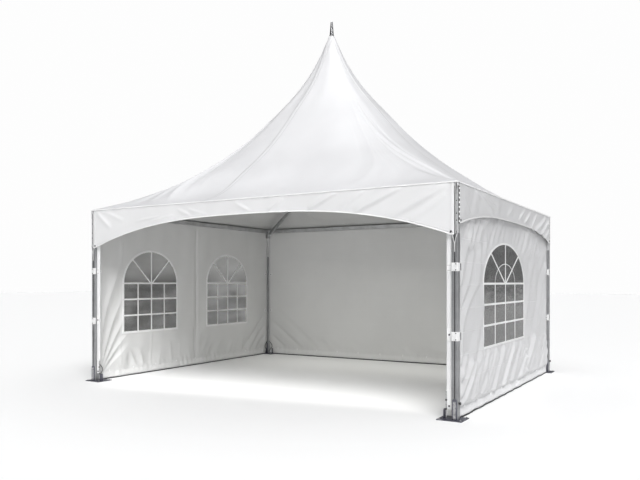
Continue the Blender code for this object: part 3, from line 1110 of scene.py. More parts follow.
@dataclass
class Canopy:
    """Swept canopy of four faces in one sheet, rolled over the eave.

    Attributes:
        width: Width over the eave.
        depth: Depth over the eave.
        edge_top: Height of the cloth at the eave.
        peak: Height of the cloth at the collar.
        sweep: How sharply the roof line sweeps up.
        sag: How far a face pulls in between its hips.
        round_top: Power of the rounded plan at the collar. 2 is an oval, and more is squarer.
        round_gain: How much squarer the plan is at the eave.
        top_pull: How much narrower the cloth is drawn near the collar.
        low_spread: How much wider it is in its lower half.
        collar: Radius of the collar.
        roll: Radius of the roll over the eave.
        welt: Radius of the welt along the eave.
        columns: Cells along each side.
        rows: Cells from the collar to the eave.
        roll_rows: Cells round the roll and down the flap.
        seam: Place of the welded seam on the front and back, as a share of half the side.
        side_seam: The same on the left and right.
        flap: How far the flap below the roll stands out.
        cloth: Finish.
        lining: Finish of the underside, a darker copy of the cloth as painted shade under the roof.
    """

    width: float = 5.0
    depth: float = 4.0
    edge_top: float = 2.2463
    peak: float = 4.69
    sweep: float = 2.25
    sag: float = 0.03
    round_top: float = 2.2
    round_gain: float = 6.0
    top_pull: float = 0.20
    low_spread: float = 0.012
    collar: float = 0.036
    roll: float = 0.014
    welt: float = 0.0062
    columns: int = 112
    rows: int = 82
    roll_rows: int = 9
    seam: float = -0.24
    side_seam: float = -0.30
    flap: float = 0.002
    cloth: CoatedFabric = CoatedFabric("canopy_cloth", (0.775, 0.775, 0.788), 0.37, seam=0.024, grain=False)
    # Painted shade: the underside is a darker copy of the cloth.
    lining: CoatedFabric = CoatedFabric("canopy_lining", (0.58, 0.58, 0.575), 0.5, grain=False)

    def height(self, s: Array) -> Array:
        """Height of the cloth, where s is 0 at the collar and 1 at the eave."""
        low = math.exp(-self.sweep)
        return self.edge_top + (self.peak - self.edge_top) * (np.exp(-self.sweep * s) - low) / (1 - low)

    def rounding(self, u: Array, s: Array) -> Array:
        """Works out how the plan is rounded at its hips.

        Args:
            u: Share along a side, from -1 at one hip to 1 at the other.
            s: Share from the collar to the eave.

        Returns:
            Factor for each place's distance from the plan's centre.
        """
        power = self.round_top + self.round_gain * s**2
        share = (1.0 + abs(u) ** power) ** (-1.0 / power) * 2.0 ** (1.0 / power)
        reach = 1.0 - self.top_pull * (1.0 - ease(s, 0.02, 0.26)) + self.low_spread * ease(s, 0.25, 0.78)
        square = ease(s, 0.55, 1.0)
        return share * reach * (1.0 - square) + square

    def surface(self, side: Side, u: Array, s: Array, out: Array) -> Array:
        """Places on one face.

        Args:
            side: The face's side.
            u: Share along the side, from -1 at one hip to 1 at the other.
            s: Share from the collar to the eave.
            out: How far to push each place away from the plan's centre at the eave.

        Returns:
            One row of X, Y and Z for each place.
        """
        normal, along = side.outward, side.along
        edge = normal[None, :] + along[None, :] * u[:, None]
        rim = edge * np.array([self.width / 2, self.depth / 2, 0.0]) * self.rounding(u, s)[:, None]
        rim = rim + np.sign(edge) * np.where(abs(edge) > 0.9999, 1.0, 0.0) * out[:, None]
        outward = rim / np.linalg.norm(rim, axis=1)[:, None]
        pull = self.sag * 4 * s * (1 - s) * (1 - u * u)
        flat = rim * s[:, None] + outward * (self.collar * (1 - s))[:, None] - normal[None, :] * pull[:, None]
        flat[:, 2] = self.height(s)
        return flat

    def folds(self, side: Side) -> Field:
        """Lists the tension folds of one face.

        Args:
            side: The face's side.

        Returns:
            Their height, from shares along the side and down the slope.
        """
        ripple = Ripple(0.0030, 0.6, 1.6, seed=11 + len(side.label))
        left = [
            Fold((-0.50, 0.96), (-0.90, 0.22), 0.055, 0.012, 0.2, 0.08, -1),
            Fold((-0.53, 0.93), (-0.88, 0.22), 0.026, 0.013, 0.2, 0.065),
            Fold((-0.50, 0.88), (-0.75, 0.30), 0.038, -0.010, 0.2, 0.05),
            Fold((-0.64, 0.96), (-0.92, 0.38), 0.026, 0.011, 0.2, 0.05),
            Fold((-0.74, 0.95), (-0.955, 0.46), 0.028, -0.009, 0.2, 0.04),
            Fold((-0.82, 0.92), (-0.965, 0.54), 0.016, 0.007, 0.2, 0.03),
            Fold((-0.40, 0.84), (-0.54, 0.58), 0.016, 0.005, 0.2, 0.02),
        ]
        right = [replace(fold.mirrored(), height=fold.height * 0.45) for fold in left]
        return layered(ripple, *left, *right)

    def slope_normals(self, side: Side, u: Array, s: Array) -> Array:
        """Works out which way one face looks.

        Args:
            side: The face's side.
            u: Share along the side.
            s: Share from the collar to the eave.

        Returns:
            An upward unit vector for each place.
        """
        none = np.zeros_like(u)
        nudge = 0.001
        ahead = self.surface(side, u, s + nudge, none) - self.surface(side, u, s - nudge, none)
        beside = self.surface(side, u + nudge, s, none) - self.surface(side, u - nudge, s, none)
        normal = np.cross(ahead, beside)
        normal /= np.linalg.norm(normal, axis=1)[:, None]
        return normal * np.sign(normal[:, 2])[:, None]

    def add_face(self, bm: Mesh, side: Side, seam: bmesh.types.BMLayerItem) -> None:
        """Adds one face, from the collar over the eave to the end of its flap.

        Args:
            bm: Mesh to add to.
            side: The face's side.
            seam: Layer that keeps each place's distance from the seam.
        """
        total = self.rows + self.roll_rows
        made = bmesh.ops.create_grid(bm, x_segments=self.columns, y_segments=total, size=1.0)["verts"]
        share = np.array([vert.co[:] for vert in made])
        u = (share[:, 0] + np.sin(share[:, 0] * math.pi / 2)) / 2
        place = (share[:, 1] + 1.0) / 2.0 * total / self.rows
        s = np.minimum(place, 1.0) ** 1.15
        past = np.clip((place - 1.0) * self.rows / self.roll_rows, 0.0, 1.0)
        points = self.surface(side, u, s, np.zeros_like(u))
        calm = (1 - ease(abs(u), 0.9, 1.0)) * (1 - ease(s, 0.97, 1.0)) * ease(s, 0.02, 0.2)
        points += self.slope_normals(side, u, s) * (self.folds(side)(u, s) * calm)[:, None]
        bend = past * math.pi / 2
        edge = self.surface(side, u, np.ones_like(u), self.flap * np.sin(bend))
        edge[:, 2] -= self.roll * (1 - np.cos(bend))
        points[past > 0] = edge[past > 0]
        wide = side in (Side.FRONT, Side.BACK)
        half, line = (self.width / 2, self.seam) if wide else (self.depth / 2, self.side_seam)
        for vert, point, gap in zip(made, points, (u - line) * half * s):
            vert.co = point
            for loop in vert.link_loops:
                loop[seam] = float(gap)

    def build(self) -> None:
        """Builds the canopy and its welt."""
        bm = bmesh.new()
        seam = bm.loops.layers.float.new("seam")
        for side in Side:
            self.add_face(bm, side, seam)
        sheet = make_piece(
            "canopy_sheet", bm, self.cloth, thickness=CLOTH_THICKNESS,
            replaces=[f"roof_{side.label}" for side in Side], outward=(0, 0, 1), merge=0.0004, lining=self.lining,
        )
        welt = self.build_welt()

    def build_welt(self) -> Thing:
        """Builds the welt along the eave, where the canopy turns down.

        Returns:
            The welt.
        """
        bm = bmesh.new()
        level = np.array([0.0, 0.0, self.edge_top - 0.0095])
        cells = 24
        for side in Side:
            wide = side in (Side.FRONT, Side.BACK)
            reach = (self.width if wide else self.depth) / 2 - 0.006
            plane = (self.depth if wide else self.width) / 2 + 0.001
            start, end = (Vector(side.outward * plane + side.along * h + level) for h in (-reach, reach))
            add_tube(bm, [start.lerp(end, i / cells) for i in range(cells + 1)], self.welt)
        return make_piece("canopy_welt", bm, WeldedStrip())


@dataclass
class Valance:
    """Arched valance along one side, keyed into the corner heads' slots.

    Attributes:
        side: Its side.
        reach: Half its length.
        plane: How far its outer face stands from the plan's centre.
        drop: Its depth at the middle, below the eave.
        corner_drop: Its depth at the corners.
        bend: How late the arch turns down.
        inner_reach: Half length of the arch.
        marks: Its folds.
        eave: Height of the eave.
        columns: Cells along.
        rows: Cells down.
        piping: Radius of the piping along the lower edge.
        bead: Radius of the beads in the heads' slots.
        eyelet: How far an eyelet's middle stands from both edges.
        cloth: Finish.
        trim: Finish of its piping.
    """

    side: Side
    reach: float
    plane: float
    drop: float
    corner_drop: float
    bend: float
    inner_reach: float
    marks: tuple[Layer, ...] = ()
    eave: float = 2.24
    columns: int = 340
    rows: int = 24
    piping: float = 0.0065
    bead: float = 0.0032
    eyelet: float = 0.026
    cloth: CoatedFabric = CoatedFabric("valance_cloth", (0.765, 0.765, 0.77), 0.40, hem=0.03)
    trim: WeldedStrip = WeldedStrip()

    @property
    def name(self) -> str:
        """Name of its CAD node."""
        return f"{self.side.label}_valance"

    def lower(self, h: Array) -> Array:
        """Height of the lower edge at places along the side."""
        u = np.clip(abs(h) / self.inner_reach, 0.0, 1.0)
        return self.eave - self.drop - (self.corner_drop - self.drop) * u**self.bend

    def out(self, h: Array, z: Array) -> Array:
        """How far the cloth stands from the plan's centre."""
        calm = (1 - ease(z, self.eave - 0.035, self.eave - 0.005)) * (1 - ease(abs(h), self.reach - 0.05, self.reach))
        return self.plane + np.maximum(layered(*self.marks)(h, z) * calm, -0.002 * calm)

    def place(self, h: Array, z: Array, gap: float = 0.0) -> Array:
        """Places on the cloth, pushed out by a gap, one row each."""
        return self.side.places(h, z, self.out(h, z) + gap)

    def build(self) -> None:
        """Builds the cloth, its piping and its eyelets."""
        bm = new_grid(self.columns, self.rows)
        share = read_points(bm)
        h = share[:, 0] * self.reach
        low = self.lower(h)
        top = self.eave - 0.005
        z = low + (top - low) * share[:, 1] ** 0.9
        up, inside = z - low, self.reach - abs(h)
        keep_numbers(bm, hem=np.minimum(up, inside), run=np.where(up < inside, h, z))
        move_points(bm, self.place(h, z))
        cloth = make_piece(
            f"{self.name}_cloth", bm, self.cloth, thickness=CLOTH_THICKNESS, replaces=[self.name],
            outward=self.side.outward,
        )
        piping = self.build_piping()
        eyelets = self.build_eyelets()
        mean_drop = self.drop + 0.28 * (self.corner_drop - self.drop)
        area = 2 * self.reach * mean_drop
        f"eave_beam_{self.side.label}"

    def build_piping(self) -> Thing:
        """Builds the welted lower edge and the beads in the heads' slots.

        Returns:
            The piping.
        """
        bm = bmesh.new()
        h = np.linspace(-self.reach, self.reach, 141)
        add_tube(bm, self.place(h, self.lower(h) + 0.002, 0.0005), self.piping)
        for end in (-1, 1):
            z = np.linspace(float(self.lower(np.array([self.reach]))[0]), self.eave - 0.02, 13)
            add_tube(bm, self.place(np.full_like(z, end * (self.reach + 0.002)), z, -0.0015), self.bead)
        return make_piece(f"{self.name}_piping", bm, self.trim)

    def build_eyelets(self) -> Thing:
        """Builds the ringed eyelet and bolt at each lower corner.

        Returns:
            The eyelets.
        """
        bm = bmesh.new()
        for end in (-1, 1):
            h = np.array([end * (self.reach - self.eyelet)])
            spot = self.place(h, self.lower(h) + self.eyelet, 0.0006)[0]
            add_turned(bm, Fittings.EYELET, stand(spot, self.side.outward), 16)
        return make_piece(f"{self.name}_eyelets", bm, DARK_ZINC)


@dataclass
class ArchedWindow:
    """Arched window in a side wall, with its film, raised border and bars.

    Attributes:
        name: Name of its CAD node.
        centre: Its middle along the wall.
        width: Width of the opening.
        bottom: Height of its lower edge.
        spring: Height where the arch starts.
        rise: Height of the arch.
        columns: Panes side by side.
        rows: Panes below the arch.
        border: Width of the raised border.
        bar: Width of a bar.
        inner_arc: Whether a thinner arc runs inside the arch.
        film: Finish of the panes.
        trim: Finish of the border and the bars.
    """

    name: str
    centre: float
    width: float
    bottom: float = 0.61
    spring: float = 1.28
    rise: float = 0.45
    columns: int = 4
    rows: int = 3
    border: float = 0.026
    bar: float = 0.021
    inner_arc: bool = False
    film: ClearFilm = ClearFilm()
    trim: WeldedStrip = WeldedStrip()

    def outline(self, grow: float = 0.0, fine: int = 1) -> list[Point]:
        """Corners of the opening.

        Args:
            grow: How far outside the opening.
            fine: How many pieces each straight stretch of about 0.1 m has.

        Returns:
            Corners in order, from the lower left.
        """
        half = self.width / 2 + grow
        low = self.bottom - grow
        corners = [(-half, low), (half, low), (half, self.spring)]
        counts = [10 * fine, 7 * fine] if fine > 1 else [1, 1]
        points: list[Point] = []
        for (x0, z0), (x1, z1), count in zip(corners, corners[1:], counts):
            points += [(x0 + (x1 - x0) * i / count, z0 + (z1 - z0) * i / count) for i in range(count)]
        steps = 40
        turns = [math.pi * step / steps for step in range(steps + 1)]
        points += [(half * math.cos(turn), self.spring + (self.rise + grow) * math.sin(turn)) for turn in turns]
        count = counts[1]
        points += [(-half, self.spring + (low - self.spring) * i / count) for i in range(1, count)]
        return [(self.centre + x, z) for x, z in points]

    def clearance(self, h: Array, z: Array) -> Array:
        """Works out roughly how far places on the wall are from the opening.

        Args:
            h: Places along the wall.
            z: Places up the wall.

        Returns:
            Distance of each place, 0 inside the opening.
        """
        half = self.width / 2
        x = (h - self.centre) / half
        above = (z - self.spring) / self.rise
        round_gap = (np.hypot(x, above) - 1.0) * self.rise
        flat_gap = np.hypot(np.maximum(abs(h - self.centre) - half, 0.0), np.maximum(self.bottom - z, 0.0))
        return np.maximum(np.where(above > 0, round_gap, flat_gap), 0.0)

    def lines(self) -> list[tuple[Point, Point]]:
        """Lists the centre lines of the bars.

        Returns:
            Two ends of each: upright ones first, then level ones, then the arch's.
        """
        half = self.width / 2
        pitch = self.width / self.columns
        found = []
        for i in range(1, self.columns):
            x = -half + i * pitch
            top = self.spring + (self.rise if i * 2 == self.columns else 0.0)
            found.append(((x, self.bottom - 0.01), (x, top)))
        step = (self.spring - self.bottom) / self.rows
        for i in range(1, self.rows + 1):
            z = self.bottom + i * step
            found.append(((-half - 0.01, z), (half + 0.01, z)))
        slope = math.radians(47)
        for end in (-1, 1):
            head = (end * half * math.cos(slope), self.spring + self.rise * math.sin(slope))
            found.append(((end * 0.012, self.spring), head))
        return [((self.centre + a, b), (self.centre + c, d)) for (a, b), (c, d) in found]


@dataclass
class Wall:
    """Wall of one side, hung from the eave beam, with its windows.

    Attributes:
        side: Its side.
        reach: Half its length.
        plane: How far its middle stands from the plan's centre.
        windows: Its windows.
        marks: Its folds.
        bottom: Height of its lower edge.
        top: Height of its upper edge.
        cut: Width of the slanting cut at each lower corner.
        cut_top: Height of that cut.
        ear: How far the cloth stops short of the slot beside the foot, and how high.
        flare: How far the hem stands out at its foot.
        notch: Width of the notch at each upper corner.
        notch_bottom: Height of that notch.
        hem: Height of the rolled hem.
        tab_heights: Heights of the tabs beside the posts.
        pitch: Size of a cell.
        bead: Radius of the black bead on the ground, which paints in the shadow under the hem.
        cloth: Finish.
    """

    side: Side
    reach: float
    plane: float
    windows: tuple[ArchedWindow, ...] = ()
    marks: tuple[Layer, ...] = ()
    bottom: float = 0.015
    top: float = 2.1877
    cut: float = 0.045
    cut_top: float = 0.13
    ear: Point = (0.018, 0.206)
    flare: float = 0.026
    notch: float = 0.04
    notch_bottom: float = 2.09
    hem: float = 0.085
    tab_heights: tuple[float, ...] = (0.79, 1.44)
    pitch: float = 0.0165
    bead: float = 0.0066
    cloth: CoatedFabric = CoatedFabric("wall_cloth", (0.73, 0.73, 0.725), 0.46, (0.225, 0.25), hem=0.035, band=1.06)

    @property
    def name(self) -> str:
        """Name of its CAD node."""
        return f"{self.side.label}_wall"

    def lift(self, h: Array, z: Array) -> Array:
        """Works out how far the cloth stands out from its plane.

        Args:
            h: Places along the wall.
            z: Places up the wall.

        Returns:
            Distance from the wall's plane at each place.
        """
        calm = 1 - ease(abs(h), self.reach - 0.10, self.reach - 0.015)
        calm = calm * (1 - ease(z, self.top - 0.10, self.top - 0.01))
        for window in self.windows:
            calm = calm * (0.06 + 0.94 * ease(window.clearance(h, z), 0.005, 0.065))
        return layered(*self.marks)(h, z) * calm + self.hem_lift(h, z)

    def hem_lift(self, h: Array, z: Array) -> Array:
        """Works out how far the rolled hem stands out, with its tucks and crimps.

        Args:
            h: Places along the wall.
            z: Places up the wall.

        Returns:
            Distance from the wall's plane at each place.
        """
        above = z - self.bottom - self.hem
        pucker = Ripple(1.0, 0.10, 40.0, seed=5).lift(h, z)
        tucks = pucker * 0.0035 * np.exp(-((above / 0.06) ** 2))
        down = np.clip(-above / self.hem, 0.0, 1.0)
        crimp = np.maximum(Ripple(1.0, 0.16, 40.0, seed=7).lift(h, z), 0.0) ** 2
        roll = (self.flare + 0.003 * pucker + 0.004 * crimp) * (down**0.7 - 0.55 * ease(down, 0.72, 1.0))
        valley = -0.0025 * np.sign(self.flare) * np.exp(-((above / 0.010) ** 2))
        calm = 1 - ease(abs(h), self.reach - 0.16, self.reach - 0.07)
        return (tucks + roll + valley) * calm

    def place(self, h: Array, z: Array, gap: float = 0.0) -> Array:
        """Places on the cloth, pushed out by a gap, one row each."""
        return self.side.places(h, z, self.plane + self.lift(h, z) + gap)

    def spot(self, h: float, z: float) -> Array:
        """One place on the cloth."""
        return self.place(np.array([h]), np.array([z]))[0]

    def raise_up(self, bm: Mesh, gap: float = 0.0) -> None:
        """Stands a flat mesh of places along and up on the cloth."""
        points = read_points(bm)
        move_points(bm, self.place(points[:, 0], points[:, 1], gap))

    def cut_sheet(self) -> Mesh:
        """Lays the cloth out flat, with lower cells at its foot, and cuts its corners.

        Returns:
            The flat cloth.
        """
        tall = self.top - self.bottom
        bm = new_grid(round(2 * self.reach / self.pitch), round(tall / self.pitch) + 12)
        for vert in bm.verts:
            up = vert.co.y
            vert.co = (vert.co.x * self.reach, self.bottom + tall * (0.72 * up + 0.28 * up * up), 0.0)
        past = 0.01
        low, high = self.bottom - past, self.top + past
        for end in (-1, 1):
            outer = end * (self.reach + past)
            inner = end * (self.reach - self.notch)
            edge = end * (self.reach - self.ear[0])
            foot = end * (self.reach - self.ear[0] - self.cut)
            upper = [(inner, self.notch_bottom), (outer, self.notch_bottom), (outer, high), (inner, high)]
            lower = [(foot, low), (outer, low), (outer, self.ear[1]), (edge, self.ear[1])]
            lower += [(edge, self.cut_top), (foot, self.bottom)]
            for corner in (upper, lower):
                bmesh.ops.delete(bm, geom=carve(bm, corner), context="FACES")
        return bm

    @staticmethod
    def cut_window(bm: Mesh, window: ArchedWindow) -> Mesh:
        """Cuts a window's opening out of the flat cloth.

        Args:
            bm: The cloth.
            window: The window.

        Returns:
            What was cut out.
        """
        inside = carve(bm, window.outline())
        bm.faces.index_update()
        kept = {face.index for face in inside}
        film = bm.copy()
        others = [face for i, face in enumerate(film.faces) if i not in kept]
        bmesh.ops.delete(film, geom=others, context="FACES")
        bmesh.ops.delete(bm, geom=inside, context="FACES")
        return film

    def build(self) -> None:
        """Builds the cloth and its windows."""
        bm = self.cut_sheet()
        pieces = [*self.build_tabs(), self.build_bead()]
        for window in self.windows:
            pieces += self.build_window(window, self.cut_window(bm, window))
        points = read_points(bm)
        h, z = points[:, 0], points[:, 1]
        side_gap = self.reach - abs(h)
        hem = np.minimum(side_gap, abs(z - self.bottom - self.hem) + 0.03)
        # Share of the hem band, which the cloth paints lighter, partly as painted light on the rolled hem.
        band = 1 - ease(z, self.bottom + self.hem - 0.02, self.bottom + self.hem + 0.02)
        keep_numbers(bm, hem=hem, band=band, run=np.where(side_gap < 0.06, z, h))
        self.raise_up(bm, CLOTH_THICKNESS / 2)
        cloth = make_piece(
            f"{self.name}_cloth", bm, self.cloth, thickness=CLOTH_THICKNESS, replaces=[self.name],
            outward=self.side.outward,
        )
        openings = sum(w.width * (w.spring - w.bottom + 0.78 * w.rise) for w in self.windows)
        area = 2 * self.reach * (self.top - self.bottom) - openings
        f"eave_beam_{self.side.label}"

    def build_bead(self) -> Thing:
        """Builds the black bead in the gap between the hem and the ground, as painted shadow under the hem.

        Returns:
            The bead.
        """
        bm = bmesh.new()
        end = self.reach - self.ear[0] - self.cut
        h = np.linspace(-end, end, 121)
        line = self.place(h, np.full_like(h, self.bottom + 0.0005))
        line[:, 2] = self.bead + 0.0006
        add_tube(bm, line, self.bead)
        return make_piece(f"{self.name}_ground_bead", bm, Rubber())

    def build_window(self, window: ArchedWindow, film: Mesh) -> list[Thing]:
        """Builds a window's film, border and bars.

        Args:
            window: The window.
            film: Flat mesh of its film.

        Returns:
            The pieces.
        """
        self.raise_up(film, 0.0004)
        outward = self.side.outward
        pane = make_piece(
            f"{window.name}_film", film, window.film, thickness=0.0008, replaces=[window.name],
            outward=outward,
        )
        inner, outer = window.outline(-0.003, 3), window.outline(window.border, 3)
        count = len(inner)

        def ring(along: float, across: float) -> Point:
            """Place on the border from its share round and across."""
            i = round(along * count) % count
            return tuple(a + (b - a) * across for a, b in zip(inner[i], outer[i]))

        band = thin_band(ring, count)
        bmesh.ops.remove_doubles(band, verts=band.verts, dist=0.0001)
        self.raise_up(band, 0.0035)
        border = make_piece(
            f"{window.name}_border", band, window.trim, thickness=0.007, bevel=0.0014, outward=outward,
        )
        return [pane, border, self.build_bars(window)]

    def build_bars(self, window: ArchedWindow) -> Thing:
        """Builds the bars of a window in one piece.

        Args:
            window: The window.

        Returns:
            The bars.
        """
        bars = bmesh.new()
        lines = window.lines()
        slimmer = 0.9  # the arch's two slanting bars
        for number, (start, end) in enumerate(lines):
            length = math.hypot(end[0] - start[0], end[1] - start[1])
            across = ((end[1] - start[1]) / length * window.bar / 2, (start[0] - end[0]) / length * window.bar / 2)
            if number >= len(lines) - 2:
                across = (across[0] * slimmer, across[1] * slimmer)

            def strip(along: float, wide: float) -> Point:
                """Place on the bar from its shares along and across."""
                side = 2 * wide - 1
                return tuple(a + (b - a) * along + c * side for a, b, c in zip(start, end, across))

            self.add_strip(bars, thin_band(strip, max(8, round(length / 0.04))), 0.0031 - 0.00008 * number)
        if window.inner_arc:
            wide_half, tall = window.width / 4, window.rise / 2

            def arc(along: float, wide: float) -> Point:
                """Finds a place on the inner arc.

                Args:
                    along: Share of its length.
                    wide: Share of its width.

                Returns:
                    Places along and up the wall.
                """
                turn, grow = math.pi * along, 0.008 * (wide - 0.5)
                x = window.centre + (wide_half + grow) * math.cos(turn)
                return x, window.spring + (tall + grow) * math.sin(turn)

            self.add_strip(bars, thin_band(arc, 36), 0.0012)
        name = f"{window.name}_bars"
        return make_piece(name, bars, window.trim, bevel=0.0008, merge=0.00001)

    def build_tabs(self) -> list[Thing]:
        """Builds the tabs beside the posts and the peg loops on the hem.

        Returns:
            The pieces.
        """
        tabs, studs = bmesh.new(), bmesh.new()
        outward = self.side.outward
        tab = rounded(0.055, -0.021, 0.021, 0.007, 0.007)
        for h in (-1, 1):
            for z in self.tab_heights:
                for face in (-1, 1):
                    spot = self.spot(h * (self.reach - 0.045), z)
                    add_plate(tabs, tab, face * 0.0022, facing(self.side, spot + outward * face * 0.0009))
                    add_turned(studs, Fittings.STUD, stand(spot + outward * face * 0.003, outward * face))
        count = round(2 * self.reach / 0.42)
        loop = rounded(0.016, -0.018, 0.016, 0.005, 0.004, 3)
        for i in range(count):
            spot = self.spot(-self.reach + (i + 0.5) * 2 * self.reach / count, self.bottom + self.hem + 0.004)
            for face in (-1, 1):
                add_plate(tabs, loop, face * 0.004, facing(self.side, spot + outward * face * 0.0009))
        made = make_piece(f"{self.name}_tabs", tabs, WeldedStrip(), bevel=0.0007)
        dots = make_piece(f"{self.name}_studs", studs, DARK_ZINC)
        return [made, dots]

    def add_strip(self, bm: Mesh, strip: Mesh, lift: float) -> None:
        """Adds a closed strip that lies on both faces of the cloth.

        Args:
            bm: Mesh to add to.
            strip: Flat strip, which is used up.
            lift: How far it stands out on each face.
        """
        grown = bmesh.ops.extrude_face_region(strip, geom=strip.faces[:])["geom"]
        far = {item for item in grown if isinstance(item, bmesh.types.BMVert)}
        gap = np.where([vert in far for vert in strip.verts], lift, -lift)
        points = read_points(strip)
        out = self.place(points[:, 0], points[:, 1]) + self.side.outward[None, :] * gap[:, None]
        move_points(strip, out)
        join(bm, strip)


@dataclass
class CornerDress:
    """Everything small on one corner post, its head and its foot.

    Attributes:
        corner: Its corner.
        x: Distance of the post's centre from the plan's centre, along X.
        y: The same along Y.
        half: Half the post's side.
        head_half: Half the head's side.
        slot_floor: Distance of a slot's floor from the post's centre.
        head_bottom: Height of the head's lower end.
        straps: Name, lower and upper edge of each strap.
        strap_turn: How far a strap turns round the flank's and the front's inner corner.
        strip_reach: How far the edge strip reaches past the post.
        strip_bottom: Height of the edge strip's lower end.
        strip_top: Height of its upper end.
        bolt_heights: Heights of the bolts through the foot's ears.
        plate_bolts: Places of the plate's bolts outwards from the post's centre, along X and along Y.
        bar_inward: How far the foot's upright bar stands from the post's centre.
        tie_height: Height at which the ties meet.
    """

    corner: Corner
    x: float = 2.463
    y: float = 1.963
    half: float = 0.032
    head_half: float = 0.034
    slot_floor: float = 0.024
    head_bottom: float = 1.755
    straps: tuple[tuple[str, float, float], ...] = (("lower", 0.745, 0.830), ("upper", 1.400, 1.480))
    strap_turn: Point = (0.006, 0.024)
    strip_reach: float = 0.060
    strip_bottom: float = 0.27
    strip_top: float = 2.09
    bolt_heights: Point = (0.055, 0.165)
    plate_bolts: tuple[Point, Point] = ((-0.143, 0.067), (-0.113, 0.067))
    bar_inward: float = 0.089
    tie_height: float = 1.660

    @property
    def sides(self) -> tuple[Side, Side]:
        """The outward sides: front or back first, then left or right."""
        sx, sy = self.corner.value
        return (Side.FRONT if sy < 0 else Side.BACK), (Side.RIGHT if sx > 0 else Side.LEFT)

    @property
    def centre(self) -> Array:
        """The post's centre on the ground."""
        sx, sy = self.corner.value
        return np.array([sx * self.x, sy * self.y, 0.0])

    def at(self, side: Side, inward: float, z: float, out: float) -> Array:
        """Place on a face: towards the side's middle, up, and out from the post's centre."""
        towards = -np.sign(self.centre @ side.along)
        return self.centre + side.outward * out + side.along * inward * towards + np.array([0.0, 0.0, z])

    def fit(self, bm: Mesh, profile: Sequence[Point], side: Side, spot: Spot, steps: int = 12) -> None:
        """Stands a turned fitting on a face, at a spot as for at()."""
        add_turned(bm, profile, stand(self.at(side, *spot), side.outward), steps)

    def lay(self, bm: Mesh, outline: Sequence[Point], thickness: float, side: Side, spot: Spot) -> None:
        """Lays a plate on a face, at a spot as for at()."""
        add_plate(bm, outline, thickness, facing(side, self.at(side, *spot)))

    def plan(self, offset: float, overlap: Point) -> list[Point]:
        """Plan of a band round the two outward faces.

        Args:
            offset: Distance of the band from the post's faces.
            overlap: How far it turns round each inner corner.

        Returns:
            Points along X and Y.
        """
        sx, sy = self.corner.value
        half = self.half + offset
        radius = 0.005

        def arc(cx: float, cy: float, start: float) -> list[Point]:
            """Points of a quarter round about a centre, clockwise from an angle in degrees."""
            turns = [math.radians(start - 90 * step / 4) for step in range(1, 5)]
            return [(cx + radius * math.cos(turn), cy + radius * math.sin(turn)) for turn in turns]

        points = [(-half, half - radius - overlap[0]), (-half, half - radius)]
        points += arc(radius - half, half - radius, 180)
        points += [(-half / 2, half), (0.0, half), (half / 2, half)]
        points += arc(half - radius, half - radius, 90)
        points += [(half, half / 2), (half, 0.0), (half, -half / 2), (half, radius - half)]
        points += arc(half - radius, radius - half, 0)
        points.append((half - radius - overlap[1], -half))
        return [(sx * (self.x + px), sy * (self.y + py)) for px, py in points]

    def build(self) -> None:
        """Builds the corner's trim."""
        self.build_straps()
        self.build_slots()
        self.build_bolts()
        self.build_ties()
        if self.corner.value[1] < 0:
            self.build_edge_strip()

    def build_straps(self) -> None:
        """Builds the straps round the post, with the clips and rivets on them."""
        for name, low, high in self.straps:
            band = bent_band(self.plan(0.0012, self.strap_turn), low, high)
            make_piece(
                f"strap_{self.corner.label}_{name}_band", band, Webbing(), thickness=0.003, bevel=0.0008,
                replaces=[f"strap_{self.corner.label}_{name}"], outward=self.sides[0].outward + self.sides[1].outward,
                offset=1.0,
            )
        clips = bmesh.new()
        front, flank = self.sides
        out = self.half + 0.0042
        for _, low, high in self.straps:
            block = rounded(0.012, low + 0.006, high - 0.006, 0.003, 0.003, 2)
            self.lay(clips, block, 0.004, flank, (0.030, 0.0, out))
            for z in (low + 0.012, high - 0.012):
                self.fit(clips, Fittings.RIVET, front, (-0.012, z, out), 10)
        make_piece(f"strap_clips_{self.corner.label}", clips, Rubber(), bevel=0.0006)

    def build_slots(self) -> None:
        """Builds black rubber strips in the open slots and behind the head's lacing, as painted shadow, and the head's
        caps and lacing.
        """
        front, flank = self.sides
        shadow_strips, dots, cap = bmesh.new(), bmesh.new(), bmesh.new()
        # Painted shadow: black strips fill the open slots and the track behind the lacing, where the real slots only
        # lie in shade.
        for side in self.sides:
            for low, high in ((0.205, self.head_bottom - 0.002), (1.76, 2.20)):
                outline = [(-0.0046, low), (0.0046, low), (0.0046, high), (-0.0046, high)]
                self.lay(shadow_strips, outline, 0.003, side, (0.0, 0.0, self.slot_floor + 0.0003))
        track = rounded(0.036, 1.845, 2.200, 0.003, 0.003, 2)
        self.lay(shadow_strips, track, 0.0022, flank, (-0.0105, 0.0, self.head_half + 0.0004))
        for i in range(8):
            self.fit(dots, Fittings.STUD, flank, (-0.0105, 1.868 + 0.044 * i, self.head_half + 0.0026))
        for z in (1.876, 1.941, 2.06):
            self.fit(shadow_strips, Fittings.RIVET, front, (-0.019, z, self.head_half + 0.0002), 10)
        outer_corner = self.plan(self.head_half - self.half + 0.0002, (0.0, 0.0))[8:-8]
        for low, high in ((2.125, 2.2385), (self.head_bottom - 0.001, self.head_bottom + 0.022)):
            join(cap, bent_band(outer_corner, low, high, 2))
        make_piece(f"slot_gaskets_{self.corner.label}", shadow_strips, Rubber(), bevel=0.0003)
        make_piece(f"head_lacing_{self.corner.label}", dots, WeldedStrip())
        make_piece(
            f"head_caps_{self.corner.label}", cap, PlainMetal("cap_zinc", (0.62, 0.62, 0.63), 0.34),
            thickness=0.0016, outward=front.outward + flank.outward, offset=1.0,
        )

